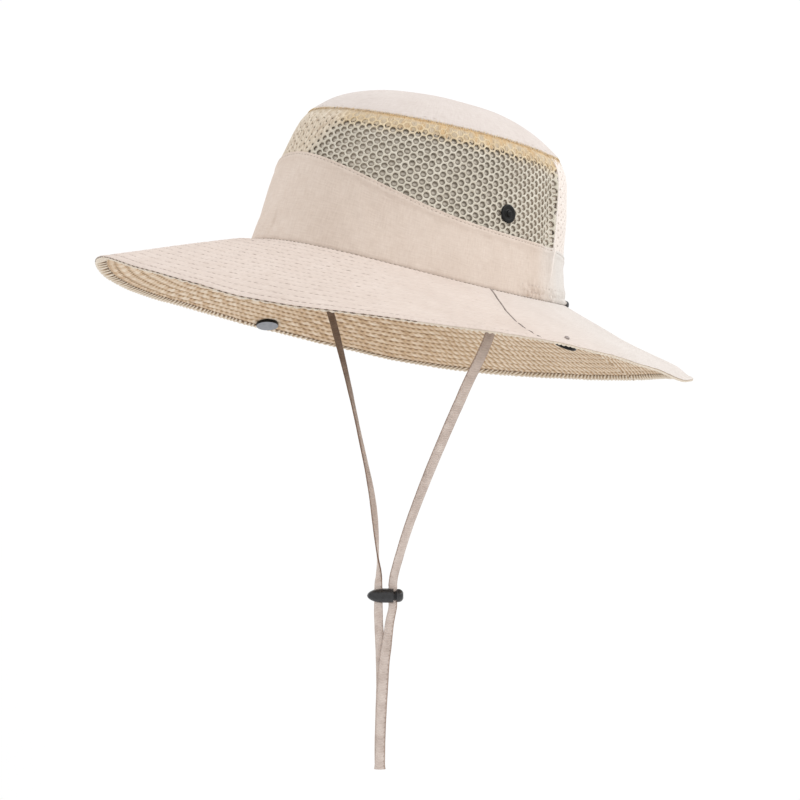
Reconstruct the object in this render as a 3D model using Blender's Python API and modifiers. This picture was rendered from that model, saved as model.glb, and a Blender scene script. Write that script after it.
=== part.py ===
"""Boonie hat with a netted crown, a stiffened snap-up brim, a flat chin cord with
a sprung cord lock, and a size cord with its own lock behind the crown.

Metres, +Z up against gravity.  Front of the hat is -Y, the wearer's left is +X.
The origin is the centre of the head opening.  The hat is worn tipped back, so its
pieces hang on an empty that is turned about X; the chin cord hangs straight down.
"""
import math

import bmesh
import bpy
import numpy as np
from mathutils import Matrix, Vector

# ------------------------------------------------------------------ dimensions
PITCH_DEG = -12.1            # hat tipped back, front edge raised

BASE_A = 0.085               # head opening, half width
BASE_B = 0.103               # head opening, half length
BASE_DIP = 0.0074            # crown seam dips this far at the sides
SEAM_H = 0.084               # height of the crown top seam
TAPE_LOW_H = 0.0765          # lower edge of the seam tape
CROWN_PROFILE = (            # (share of the base radius, height)
    (1.000, 0.0), (0.9476, 0.030), (0.9058, 0.055), (0.8663, 0.072),
    (0.800, 0.0824), (0.650, 0.0947), (0.450, 0.1031), (0.200, 0.1061), (0.0, 0.1069))
WAVE = (0.0354, 0.01175, 0.0042, 0.0025)   # band's upper edge: mean and cosine terms

BRIM_A = 0.1665              # brim outline, half width
BRIM_BF = 0.1925             # brim outline, front half length
BRIM_BB = 0.1902             # brim outline, back half length
EDGE_Z = -0.0375             # mean height of the brim edge
EDGE_COS = (0.0003, 0.0024, -0.0002, 0.0015)
EDGE_SIN = (0.0008, -0.0031, -0.0009)

FABRIC = 0.0005              # cloth thickness
GAP = 0.0003                 # play between sewn layers
SWEAT_T = 0.0012             # sweatband thickness
SWEAT_H = 0.024              # sweatband height
CORD_ROOM = 0.0036           # room for the size cord behind the sweatband
BIND_W = 0.0040              # width of the edge binding
BIND_T = 0.0004

FOLD_X = 0.1035              # fold line of a side of the brim
FOLD_Z = -0.0136             # just above the cloth on that line

SNAP_T = 0.862               # snap's place across the brim
SNAP_Y = {"left": 0.0085, "right": 0.0010}
STUD_H = 0.0425              # stud's height on the crown
CAP_R, SOCKET_R, STUD_R = 0.0066, 0.0056, 0.0056
POST_R = 0.0016

CORD_W, CORD_T = 0.0050, 0.0013       # flat chin cord
ANCHOR = {"left": (0.0784, 0.0100), "right": (-0.0784, -0.0080)}
ANCHOR_W, ANCHOR_T, ANCHOR_H = 0.010, 0.0014, 0.015
ANCHOR_LOW = -0.0115
LOCK_POS = (0.0001, -0.0175, -0.1975)
LOCK_AZ_DEG = 55.7           # lock's long axis, turned about Z
LOCK_L0, LOCK_L1 = -0.0111, 0.0083
LOCK_D, LOCK_Z = 0.0090, 0.0088
STRAND = {"left": 0.0047, "right": -0.0042}   # where the strands cross the lock, along it
TAIL_Z = -0.3041

REAR_POS = (0.0, 0.1065, 0.0055)
REAR_TILT_DEG = -10.0
REAR_L, REAR_R = 0.0135, 0.0042
REAR_HOLE = 0.0075           # size cord crosses the barrel this far along it
SIZE_CORD_R = 0.0010
EYELET_X = 0.0165

# ------------------------------------------------------------------ scene
for ob in list(bpy.data.objects):
    bpy.data.objects.remove(ob, do_unlink=True)

PARTS = bpy.data.collections.new("boonie_hat")
CUTTERS = bpy.data.collections.new("cutters")
for col in (PARTS, CUTTERS):
    bpy.context.scene.collection.children.link(col)


def material(name, rgb, rough, metal=0.0):
    m = bpy.data.materials.new(name)
    m.use_nodes = True
    b = m.node_tree.nodes["Principled BSDF"]
    b.inputs["Base Color"].default_value = (*rgb, 1.0)
    b.inputs["Roughness"].default_value = rough
    b.inputs["Metallic"].default_value = metal
    m.diffuse_color = (*rgb, 1.0)
    return m


SAND = (0.80, 0.69, 0.60)
CREAM = (0.64, 0.52, 0.38)
LOOKS = {
    "cloth": (SAND, 0.85), "top_cloth": ((0.79, 0.69, 0.61), 0.85),
    "net": ((0.62, 0.58, 0.48), 0.75), "tape": ((0.66, 0.52, 0.30), 0.70),
    "sweat": ((0.74, 0.66, 0.58), 0.90), "lining": (CREAM, 0.90),
    "core": ((0.85, 0.84, 0.80), 0.80), "cord": ((0.50, 0.40, 0.35), 0.80),
    "black": ((0.03, 0.03, 0.032), 0.40), "snap": ((0.02, 0.02, 0.02), 0.30, 0.6),
    "steel": ((0.55, 0.55, 0.56), 0.30, 1.0),
}


def empty(name, parent=None, loc=(0, 0, 0), rot=(0, 0, 0)):
    ob = bpy.data.objects.new(name, None)
    ob.parent = parent
    ob.location = loc
    ob.rotation_euler = rot
    PARTS.objects.link(ob)
    return ob


HAT = empty("hat_tilt", rot=(math.radians(PITCH_DEG), 0, 0))
FOLD = {side: empty("fold_" + side, HAT, (sx * FOLD_X, 0, FOLD_Z))
        for side, sx in (("left", 1), ("right", -1))}
LOCK = empty("lock_frame", None, LOCK_POS, (0, 0, math.radians(LOCK_AZ_DEG)))
REAR = empty("rear_lock_frame", HAT, REAR_POS, (math.radians(REAR_TILT_DEG), 0, 0))


def add(name, mesh, look, parent, col=None, smooth=True):
    ob = bpy.data.objects.new(name, mesh)
    (col or PARTS).objects.link(ob)
    ob.parent = parent
    if look:
        mesh.materials.append(material(name + "_mat", *LOOKS[look]))
    if smooth:
        mesh.shade_smooth()
        mesh.set_sharp_from_angle(angle=math.radians(40))
    return ob


def finish_bm(bm, name):
    mesh = bpy.data.meshes.new(name)
    bm.to_mesh(mesh)
    bm.free()
    return mesh


# ------------------------------------------------------------------ curves
def smooth_curve(pts, per=12):
    """Points along a Catmull-Rom curve through pts."""
    p = np.asarray(pts, float)
    p = np.vstack([2 * p[0] - p[1], p, 2 * p[-1] - p[-2]])
    out = []
    for i in range(1, len(p) - 2):
        for k in range(per):
            t = k / per
            a, b, c, d = p[i - 1], p[i], p[i + 1], p[i + 2]
            out.append(0.5 * (2 * b + (c - a) * t + (2 * a - 5 * b + 4 * c - d) * t * t
                              + (3 * b - a - 3 * c + d) * t ** 3))
    out.append(p[-2])
    return np.array(out)


def even(pts, step):
    """The same curve with points at an even spacing near step."""
    seg = np.linalg.norm(np.diff(pts, axis=0), axis=1)
    s = np.concatenate([[0], np.cumsum(seg)])
    n = max(2, int(round(s[-1] / step)) + 1)
    q = np.linspace(0, s[-1], n)
    return np.stack([np.interp(q, s, pts[:, k]) for k in range(pts.shape[1])], -1)


_prof = smooth_curve(CROWN_PROFILE, 16)
_prof[:, 1] = np.maximum.accumulate(_prof[:, 1])
_plen = np.concatenate([[0], np.cumsum(np.hypot(np.diff(_prof[:, 0]) * 0.094, np.diff(_prof[:, 1])))])


def s_of_h(h):
    return float(np.interp(h, _prof[:, 1], _plen))


# ------------------------------------------------------------------ the hat's two surfaces
def base_z(phi):
    return -BASE_DIP * math.sin(phi) ** 2


def edge_z(phi):
    return (EDGE_Z + sum(k * math.cos((i + 1) * phi) for i, k in enumerate(EDGE_COS))
            + sum(k * math.sin((i + 1) * phi) for i, k in enumerate(EDGE_SIN)))


def wave_h(phi):
    return sum(k * math.cos(i * phi) for i, k in enumerate(WAVE))


def _crown(phi, s):
    f = float(np.interp(s, _plen, _prof[:, 0]))
    h = float(np.interp(s, _plen, _prof[:, 1]))
    fade = max(0.0, 1 - h / 0.087)
    return Vector((BASE_A * f * math.sin(phi), -BASE_B * f * math.cos(phi), h + fade * base_z(phi)))


def _brim(phi, t):
    bl = 0.5 * (BRIM_BF + BRIM_BB) + 0.5 * (BRIM_BF - BRIM_BB) * math.cos(phi)
    i = Vector((BASE_A * math.sin(phi), -BASE_B * math.cos(phi), base_z(phi)))
    o = Vector((BRIM_A * math.sin(phi), -bl * math.cos(phi), edge_z(phi)))
    return i + (o - i) * t


def _with_normal(fn, phi, v, dv, up):
    p = fn(phi, v)
    tu = fn(phi + 0.004, v) - fn(phi - 0.004, v)
    tv = fn(phi, v + dv) - fn(phi, v - dv)
    n = tu.cross(tv)
    if n.length < 1e-12:
        n = Vector((0, 0, 1))
    n.normalize()
    if n.dot(up(p)) < 0:
        n.negate()
    return p, n


def crown(phi, s, off=0.0):
    s = min(s, _plen[-1] - 0.0006)
    p, n = _with_normal(_crown, phi, s, 0.0005, lambda q: q - Vector((0, 0, 0.02)))
    return p + n * off


def brim(phi, t, off=0.0):
    p, n = _with_normal(_brim, phi, t, 0.01, lambda q: Vector((0, 0, 1)))
    return p + n * off


def crown_frame(phi, h):
    p, n = _with_normal(_crown, phi, s_of_h(h), 0.0005, lambda q: q - Vector((0, 0, 0.02)))
    return p, n


def brim_frame(phi, t):
    return _with_normal(_brim, phi, t, 0.01, lambda q: Vector((0, 0, 1)))


# ------------------------------------------------------------------ cloth shells
def shell(name, fn, us, vs, look, parent, closed=False, flip=False, thick=FABRIC, pole=None, shift=None):
    """Open surface fn(u, v), thickened inward by Solidify."""
    bm = bmesh.new()
    sh = Vector(shift) if shift is not None else Vector((0, 0, 0))
    rows = [[bm.verts.new(fn(u, v) - sh) for u in us] for v in vs]
    nu = len(us)
    for j in range(len(vs) - 1):
        for i in range(nu if closed else nu - 1):
            k = (i + 1) % nu
            q = [rows[j][i], rows[j][k], rows[j + 1][k], rows[j + 1][i]]
            bm.faces.new(q[::-1] if flip else q)
    if pole is not None:
        top = bm.verts.new(pole - sh)
        for i in range(nu):
            bm.faces.new((rows[-1][i], rows[-1][(i + 1) % nu], top))
    ob = add(name, finish_bm(bm, name), look, parent)
    m = ob.modifiers.new("cloth", "SOLIDIFY")
    m.thickness = thick
    m.offset = -1.0
    m.use_quality_normals = True
    return ob


RING = [2 * math.pi * i / 40 for i in range(40)]


def between(h0, h1, off=0.0):
    def fn(phi, v):
        lo = h0(phi) if callable(h0) else h0
        hi = h1(phi) if callable(h1) else h1
        return crown(phi, s_of_h(lo + (hi - lo) * v), off)
    return fn


apex = _crown(0.0, _plen[-1])
s_top0 = s_of_h(SEAM_H + GAP / 2)
s_top1 = _plen[-1] - 0.012
crown_top = shell("crown_top", lambda p, v: crown(p, s_top0 + (s_top1 - s_top0) * v), RING,
                  [0, 0.16, 0.34, 0.6, 1.0], "top_cloth", HAT, closed=True, pole=apex)
TAPE_MID_H = 0.5 * (TAPE_LOW_H + SEAM_H)


def mesh_row(phi, k):
    lo = wave_h(phi) + GAP / 2
    return crown(phi, s_of_h((lo, 0.5 * (lo + TAPE_LOW_H), TAPE_LOW_H, TAPE_MID_H, SEAM_H - GAP / 2)[k]))


def tape_row(phi, k):
    return crown(phi, s_of_h((TAPE_LOW_H, TAPE_MID_H, SEAM_H - GAP)[k]), -(FABRIC + 0.0006))


crown_mesh = shell("crown_mesh", mesh_row, RING, range(5), "net", HAT, closed=True)
crown_band = shell("crown_band", between(0.0004, lambda p: wave_h(p) - GAP / 2), RING,
                   [0, 0.5, 1.0], "cloth", HAT, closed=True)
seam_tape = shell("crown_seam_tape", tape_row, RING, range(3), "tape", HAT, closed=True, thick=0.0004)


def sweat_off(phi):
    k = 0.5 * (1 - math.cos(phi))          # 0 in front, 1 behind
    k = min(1.0, max(0.0, (k - 0.45) / 0.35))
    k = k * k * (3 - 2 * k)
    return -(FABRIC + 0.0004 + (CORD_ROOM - 0.0004) * k)


sweatband = shell("sweatband", lambda p, v: crown(p, s_of_h(0.0006 + (SWEAT_H - 0.0006) * v), sweat_off(p)),
                  RING, [0, 0.5, 1.0], "sweat", HAT, closed=True, thick=SWEAT_T)

# brim layers: the chord x = +-FOLD_X parts each side flap from the middle
T_EDGE = 1 - 0.0009 / 0.085


def t_fold(phi, x):
    return (x / max(1e-6, abs(math.sin(phi))) - BASE_A) / (BRIM_A - BASE_A)


def span(a, b, n):
    return [a + (b - a) * i / n for i in range(n + 1)]


def phi_at(x, t):
    """Angle from the front where the brim at t reaches half width x."""
    return math.asin(x / (BASE_A + (BRIM_A - BASE_A) * t))


def middle_layer(name, off, t0, t1, rear, look, vs):
    x = FOLD_X - GAP / 2
    kink = phi_at(x, t1)
    end = math.pi / 2 - 0.0017
    us = span(-end, -kink, 5)[:-1] + span(-kink, kink, 8) + span(kink, end, 5)[1:]
    if rear:
        us = [u + math.pi for u in us]

    def fn(phi, v):
        hi = min(t1, t_fold(phi, x))
        return brim(phi, t0 + (hi - t0) * v, off)
    return shell(name, fn, us, vs, look, HAT, flip=True)


def flap_layer(name, off, t1, side, look, vs, x_in=FOLD_X + GAP / 2):
    sx = 1 if side == "left" else -1
    a = phi_at(x_in, 0.97 * t1)
    us = [sx * u for u in span(a, math.pi - a, 14)]
    if sx < 0:
        us = us[::-1]

    def fn(phi, v):
        lo = t_fold(phi, x_in)
        return brim(phi, lo + (t1 - lo) * v, off)
    return shell(name, fn, us, vs, look, FOLD[side], flip=True, shift=(sx * FOLD_X, 0, FOLD_Z))


OFF_CORE = -(FABRIC + GAP)
OFF_UNDER = -(2 * FABRIC + 2 * GAP)
V3, V2 = [0, 0.33, 0.67, 1.0], [0, 0.5, 1.0]
layers = {"left": [], "right": []}
for key, off, t0, t1, look in (("upper", 0.0, 0.0, T_EDGE, "cloth"),
                               ("core", OFF_CORE, 0.03, T_EDGE - 0.004, "core"),
                               ("under", OFF_UNDER, 0.0, T_EDGE, "lining")):
    middle_layer("brim_%s_front" % key, off, t0, t1, False, look, V2)
    middle_layer("brim_%s_rear" % key, off, t0, t1, True, look, V2)
    for side in ("left", "right"):
        layers[side].append(flap_layer("brim_%s_%s" % (key, side), off, t1, side, look, V2))

# edge binding: a folded strip over the rim of all three layers
OUT = 0.00035 + BIND_T
LOW = -(3 * FABRIC + 2 * GAP) - OUT
W_T = BIND_W / 0.085
BIND_SECTION = ((1 - W_T, OUT), (0.997, OUT), (1.0, OUT * 0.3), (1.0, LOW + OUT * 0.7), (0.997, LOW), (1 - W_T, LOW))


def binding(name, us, parent, shift=None):
    def fn(phi, k):
        t, off = BIND_SECTION[int(k)]
        return brim(phi, t, off)
    return shell(name, fn, us, range(len(BIND_SECTION)), "cloth", parent, flip=True, thick=BIND_T, shift=shift)


a_mid = phi_at(FOLD_X - 0.0006, 1.0)
a_flap = phi_at(FOLD_X + 0.0011, 1 - W_T)
binding("brim_binding_front", span(-a_mid, a_mid, 14), HAT)
binding("brim_binding_rear", span(math.pi - a_mid, math.pi + a_mid, 14), HAT)
binding("brim_binding_left", span(a_flap, math.pi - a_flap, 14), FOLD["left"], (FOLD_X, 0, FOLD_Z))
binding("brim_binding_right", span(math.pi + a_flap, 2 * math.pi - a_flap, 14), FOLD["right"], (-FOLD_X, 0, FOLD_Z))


# ------------------------------------------------------------------ turned pieces
def place(ob, pos, axis):
    ob.location = pos
    ob.rotation_mode = "QUATERNION"
    ob.rotation_quaternion = Vector((0, 0, 1)).rotation_difference(Vector(axis))


def turned(name, profile, look, parent, pos, axis, steps=14, closed=False):
    """Profile (radius, height), top to bottom on its outer side, turned about its own axis."""
    bm = bmesh.new()
    vs = [bm.verts.new((r, 0, z)) for r, z in profile]
    for a, b in zip(vs, vs[1:] + (vs[:1] if closed else [])):
        bm.edges.new((a, b))
    if not closed:
        bm.edges.remove(bm.edges.get((vs[-1], vs[0]))) if bm.edges.get((vs[-1], vs[0])) else None
    ob = add(name, finish_bm(bm, name), look, parent)
    place(ob, pos, axis)
    m = ob.modifiers.new("turn", "SCREW")
    m.steps = m.render_steps = steps
    m.use_merge_vertices = True
    m.merge_threshold = 0.00001
    return ob


def hole(target, pos, axis, radius, parent, depth=0.012):
    bm = bmesh.new()
    bmesh.ops.create_cone(bm, cap_ends=True, segments=14, radius1=radius, radius2=radius, depth=depth)
    name = target.name + "_hole"
    ob = add(name, finish_bm(bm, name), None, parent, CUTTERS, smooth=False)
    place(ob, pos, axis)
    ob.hide_render = True
    ob.display_type = "WIRE"
    m = target.modifiers.new("hole", "BOOLEAN")
    m.operation = "DIFFERENCE"
    m.solver = "EXACT"
    m.object = ob


STACK = 3 * FABRIC + 2 * GAP
for side, sx in (("left", 1), ("right", -1)):
    # snap through the brim: cap with its post below, socket above
    y = SNAP_Y[side]
    half = BASE_B + (0.5 * (BRIM_BF + BRIM_BB) - BASE_B) * SNAP_T
    phi = sx * (math.pi / 2 + math.asin(y / half))
    p, n = brim_frame(phi, SNAP_T)
    p = p - Vector((sx * FOLD_X, 0, FOLD_Z))
    for ob in layers[side]:
        hole(ob, p, n, POST_R + 0.0004, FOLD[side])
    z0 = -(STACK + 0.00035)
    turned("snap_cap_" + side, ((0, 0.0011), (POST_R, 0.0011), (POST_R, z0), (CAP_R, z0), (CAP_R, z0 - 0.0005),
                                (CAP_R - 0.0012, z0 - 0.0012), (0, z0 - 0.0015)), "snap", FOLD[side], p, n)
    turned("snap_socket_" + side, ((SOCKET_R, 0.0012), (SOCKET_R, 0.00035), (POST_R + 0.0004, 0.00035),
                                   (POST_R + 0.0004, 0.0013), (0.0028, 0.0013), (0.0028, 0.0020), (0.0048, 0.0020)),
           "snap", FOLD[side], p, n, closed=True)
    # stud on the crown, riveted through the netting to a plate inside
    pc, nc = crown_frame(sx * (math.pi / 2 + math.asin(y / 0.0955)), STUD_H)
    hole(crown_mesh, pc, nc, POST_R + 0.0004, HAT)
    turned("crown_stud_" + side, ((0, 0.0022), (0.0018, 0.0022), (0.0021, 0.0012), (STUD_R - 0.0008, 0.0012),
                                  (STUD_R, 0.0008), (STUD_R, 0.00035), (POST_R, 0.00035), (POST_R, -0.0018), (0, -0.0018)),
           "snap", HAT, pc, nc)
    b0 = -(FABRIC + 0.0004)
    turned("crown_stud_back_" + side, ((STUD_R - 0.0006, b0), (STUD_R - 0.0006, b0 - 0.0008),
                                       (POST_R + 0.0003, b0 - 0.0008), (POST_R + 0.0003, b0)),
           "snap", HAT, pc, nc, closed=True)


# ------------------------------------------------------------------ boxes
def box(name, lo, hi, look, parent, bevel=0.0, segs=2, col=None):
    bm = bmesh.new()
    size = [b - a for a, b in zip(lo, hi)]
    mid = [(a + b) / 2 for a, b in zip(lo, hi)]
    bmesh.ops.create_cube(bm, size=1.0, matrix=Matrix.Translation(mid) @ Matrix.Diagonal((*size, 1.0)))
    ob = add(name, finish_bm(bm, name), look, parent, col, smooth=col is None)
    if bevel:
        m = ob.modifiers.new("round", "BEVEL")
        m.width = bevel
        m.segments = segs
    if col is not None:
        ob.hide_render = True
        ob.display_type = "WIRE"
    return ob


def cut(target, cutter):
    m = target.modifiers.new("cut", "BOOLEAN")
    m.operation = "DIFFERENCE"
    m.solver = "EXACT"
    m.object = cutter


# ------------------------------------------------------------------ chin cord and its tabs
def ribbon(name, path, widths, look, parent):
    """Flat cord: a rounded strip swept along path, widths giving its broad direction."""
    p = np.asarray(path, float)
    t = np.gradient(p, axis=0)
    t /= np.linalg.norm(t, axis=1, keepdims=True)
    h, w = CORD_T / 2, CORD_W / 2
    sec = ((w, -h * 0.45), (w, h * 0.45), (w * 0.75, h), (-w * 0.75, h), (-w, h * 0.45), (-w, -h * 0.45),
           (-w * 0.75, -h), (w * 0.75, -h))
    bm = bmesh.new()
    rings = []
    for c, tt, wd in zip(p, t, widths):
        wd = np.asarray(wd, float) - tt * float(np.dot(wd, tt))
        wd /= np.linalg.norm(wd)
        nn = np.cross(tt, wd)
        rings.append([bm.verts.new(Vector(c + wd * a + nn * b)) for a, b in sec])
    k = len(sec)
    for r0, r1 in zip(rings, rings[1:]):
        for i in range(k):
            bm.faces.new((r0[i], r0[(i + 1) % k], r1[(i + 1) % k], r1[i]))
    bm.faces.new(rings[0][::-1])
    bm.faces.new(rings[-1])
    bmesh.ops.recalc_face_normals(bm, faces=bm.faces)
    return add(name, finish_bm(bm, name), look, parent)


TILT = Matrix.Rotation(math.radians(PITCH_DEG), 3, "X")
AZ = math.radians(LOCK_AZ_DEG)
E1 = np.array((math.cos(AZ), math.sin(AZ), 0.0))      # along the lock
E2 = np.array((math.sin(AZ), -math.cos(AZ), 0.0))     # across it
E3 = np.array((0.0, 0.0, 1.0))
LP = np.array(LOCK_POS)

ROUTE = {  # free points of each strand between its tab and the lock
    "left": ((0.0713, 0.0071, -0.0359), (0.0536, -0.0005, -0.0704), (0.0345, -0.0068, -0.1111),
             (0.0171, -0.0118, -0.1520), (0.0062, -0.0138, -0.1800)),
    "right": ((-0.0705, -0.0108, -0.0288), (-0.0544, -0.0104, -0.0641), (-0.0385, -0.0110, -0.1007),
              (-0.0211, -0.0127, -0.1403), (-0.0070, -0.0178, -0.1790)),
}
for side, sx in (("left", 1), ("right", -1)):
    ax, ay = ANCHOR[side]
    tab = box("chin_anchor_" + side, (ax - ANCHOR_T / 2, ay - ANCHOR_W / 2, ANCHOR_LOW),
              (ax + ANCHOR_T / 2, ay + ANCHOR_W / 2, ANCHOR_LOW + ANCHOR_H), "cloth", HAT, 0.0003, 1)
    start = np.array(TILT @ Vector((ax, ay, ANCHOR_LOW - GAP)))
    below = np.array(TILT @ Vector((ax - sx * 0.0015, ay, ANCHOR_LOW - 0.008)))
    slot = LP + E1 * STRAND[side]
    pts = [start, below, *ROUTE[side], slot + E3 * 0.0078, slot + E3 * 0.0056]
    path = np.vstack([even(smooth_curve(pts), 0.0105), slot + E3 * 0.00015])
    n = len(path)
    # broad side faces across the hat at the tab and turns to the lock's long axis
    wd0 = np.array((0.0, 1.0, 0.0))
    wds = []
    for i in range(n):
        k = i / (n - 1)
        k = k * k * (3 - 2 * k)
        wds.append(wd0 * (1 - k) + E1 * k)
    ribbon("chin_cord_" + side, path, wds, "cord", None)

SL, SR = STRAND["left"], STRAND["right"]
tail = [LP + E1 * SL - E3 * 0.0056, LP + E1 * SL - E3 * 0.0085, LP + E1 * 0.0026 + E2 * 0.0008 - E3 * 0.040,
        LP - E1 * 0.0005 + E2 * 0.0018 - E3 * 0.072, LP - E1 * 0.0030 + E2 * 0.0016 - E3 * 0.1000]
zb = LP[2] - TAIL_Z
for k in range(5):
    a = math.pi * k / 4
    tail.append(LP - E1 * 0.0032 + E2 * 0.0015 * math.cos(a) - E3 * (zb - 0.0022 + 0.0015 * math.sin(a)))
tail += [LP - E1 * 0.0034 - E2 * 0.0016 - E3 * 0.1000, LP - E1 * 0.0042 - E2 * 0.0018 - E3 * 0.072,
         LP - E1 * 0.0044 - E2 * 0.0008 - E3 * 0.040, LP + E1 * SR - E3 * 0.0085, LP + E1 * SR - E3 * 0.0056]
fine = smooth_curve(tail, 14)
zf = fine[:, 2]
bend = zf < TAIL_Z + 0.006
first, last = np.argmax(bend), len(bend) - np.argmax(bend[::-1]) - 1
tail_path = np.vstack([LP + E1 * SL - E3 * 0.00015, even(fine[:first + 1], 0.0105)[:-1], even(fine[first:last + 1], 0.0012), even(fine[last:], 0.0105)[1:],
                       LP + E1 * SR - E3 * 0.00015])
ribbon("chin_cord_tail", tail_path, [E1] * len(tail_path), "cord", None)

# ------------------------------------------------------------------ chin cord lock
body = box("chin_lock_body", (LOCK_L0, -LOCK_D / 2, -LOCK_Z / 2), (LOCK_L1, LOCK_D / 2, LOCK_Z / 2), "black", LOCK, 0.0026, 3)
cut(body, box("lock_cavity", (LOCK_L0 + 0.0011, -0.0029, -0.0029), (LOCK_L1 + 0.002, 0.0029, 0.0029), None, LOCK, col=CUTTERS))
for i, c in enumerate(STRAND.values()):
    cut(body, box("lock_slot_%d" % i, (c - CORD_W / 2 - 0.00035, -0.00095, -0.006), (c + CORD_W / 2 + 0.00035, 0.00095, 0.006),
                  None, LOCK, col=CUTTERS))
button = box("chin_lock_button", (-0.0076, -0.0025, -0.0025), (0.0111, 0.0025, 0.0025), "black", LOCK, 0.0006, 2)
cut(button, box("button_slot", (-0.0070, -0.0011, -0.006), (0.0090, 0.0011, 0.006), None, LOCK, col=CUTTERS))


def coil(name, radius, x0, x1, turns, wire, look, parent, along):
    cu = bpy.data.curves.new(name, "CURVE")
    cu.dimensions = "3D"
    cu.bevel_depth = wire / 2
    cu.bevel_resolution = 1
    cu.use_fill_caps = True
    n = int(turns * 8) + 1
    sp = cu.splines.new("POLY")
    sp.points.add(n - 1)
    for i in range(n):
        a = 2 * math.pi * turns * i / (n - 1)
        x = x0 + (x1 - x0) * i / (n - 1)
        q = (x, radius * math.cos(a), radius * math.sin(a)) if along == "X" else (radius * math.cos(a), x, radius * math.sin(a))
        sp.points[i].co = (*q, 1.0)
    ob = bpy.data.objects.new(name, cu)
    PARTS.objects.link(ob)
    ob.parent = parent
    cu.materials.append(material(name + "_mat", *LOOKS[look]))
    return ob


coil("chin_lock_spring", 0.0016, LOCK_L0 + 0.00165, -0.00815, 2.5, 0.0004, "steel", LOCK, "X")


# ------------------------------------------------------------------ size cord and its lock, behind the crown
def tube(name, pts, radius, look, parent):
    cu = bpy.data.curves.new(name, "CURVE")
    cu.dimensions = "3D"
    cu.bevel_depth = radius
    cu.bevel_resolution = 2
    cu.use_fill_caps = True
    sp = cu.splines.new("POLY")
    sp.points.add(len(pts) - 1)
    for q, p in zip(sp.points, pts):
        q.co = (*[float(v) for v in p], 1.0)
    ob = bpy.data.objects.new(name, cu)
    PARTS.objects.link(ob)
    ob.parent = parent
    cu.materials.append(material(name + "_mat", *LOOKS[look]))
    return ob


tilt = Matrix.Rotation(math.radians(REAR_TILT_DEG), 3, "X")
cross = np.array(Vector(REAR_POS) + tilt @ Vector((0, REAR_HOLE, 0)))
mid_gap = -(FABRIC + 0.0002 + CORD_ROOM / 2)
hidden = [np.array(crown(math.radians(deg), s_of_h(0.0060), mid_gap)) for deg in (122, 131, 140, 149, 158)]
phi_e = math.pi - math.asin(EYELET_X / BASE_A)
pe, ne = crown_frame(phi_e, 0.0060)
pv, nv = np.array(pe), np.array(ne)
side_x = np.array((1.0, 0.0, 0.0))
shown = [hidden[-1], pv - nv * 0.0027 + side_x * 0.0030, pv - nv * 0.0003, pv + nv * 0.0034 - side_x * 0.0016,
         np.array((0.0112, cross[1] - 0.0016, cross[2] + 0.0003)), np.array((0.0066, cross[1], cross[2])),
         np.array((0.0030, cross[1], cross[2]))]
mirror = np.array((-1.0, 1.0, 1.0))
inner = even(smooth_curve(hidden), 0.0070)
outer = even(smooth_curve(shown), 0.0019)
half = np.vstack([inner[:-1], outer])
tube("rear_drawcord", np.vstack([half, half[::-1] * mirror]), SIZE_CORD_R, "cord", HAT)
for side, sx in (("left", 1), ("right", -1)):
    pos = Vector((pe.x * sx, pe.y, pe.z))
    nor = Vector((ne.x * sx, ne.y, ne.z))
    hole(crown_band, pos, nor, 0.0030, HAT)
    turned("rear_eyelet_" + side, ((0.0046, 0.0009), (0.0046, 0.00035), (0.0028, 0.00035), (0.0028, 0.0009)),
           "black", HAT, pos, nor, closed=True)

barrel = turned("rear_lock_barrel", ((0, REAR_L), (REAR_R - 0.0006, REAR_L), (REAR_R, REAR_L - 0.0006), (REAR_R, 0.0008),
                                     (REAR_R - 0.0008, 0.0), (0, 0.0)), "black", REAR, (0, 0, 0), (0, 1, 0), steps=16)


def rod(name, radius, y0, y1, parent):
    bm = bmesh.new()
    bmesh.ops.create_cone(bm, cap_ends=True, segments=16, radius1=radius, radius2=radius, depth=y1 - y0)
    ob = add(name, finish_bm(bm, name), None, parent, CUTTERS, smooth=False)
    place(ob, (0, (y0 + y1) / 2, 0), (0, 1, 0))
    ob.hide_render = True
    ob.display_type = "WIRE"
    return ob


cut(barrel, rod("barrel_bore", 0.0030, 0.0014, REAR_L + 0.002, REAR))
cross_bore = rod("barrel_cross", 0.0014, -0.008, 0.008, REAR)
place(cross_bore, (0, REAR_HOLE, 0), (1, 0, 0))
cut(barrel, cross_bore)
plunger = turned("rear_lock_plunger", ((0, REAR_L + 0.0044), (0.0026, REAR_L + 0.0044), (0.0034, REAR_L + 0.0036),
                                       (0.0034, REAR_L + 0.0018), (0.0026, REAR_L + 0.0018), (0.0026, 0.0043), (0, 0.0043)),
                 "black", REAR, (0, 0, 0), (0, 1, 0), steps=16)
cut(plunger, box("plunger_slot", (-0.006, REAR_HOLE - 0.0014, -0.0014), (0.006, REAR_HOLE + 0.0029, 0.0014), None, REAR, col=CUTTERS))
coil("rear_lock_spring", 0.0019, 0.0019, 0.0038, 2.5, 0.0004, "steel", REAR, "Y")

bpy.context.view_layer.update()
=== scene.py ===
"""Looks of the boonie hat: cloth, netting, stitching, chin cord, snaps and locks.

Metres, in the row frame.  Hat coordinates (front -Y, wearer's left +X, angle phi from
the front towards +X) are turned by the hat's tilt before anything is placed.
"""
import math

import bmesh
import bpy
import numpy as np
from mathutils import Matrix, Vector


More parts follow.
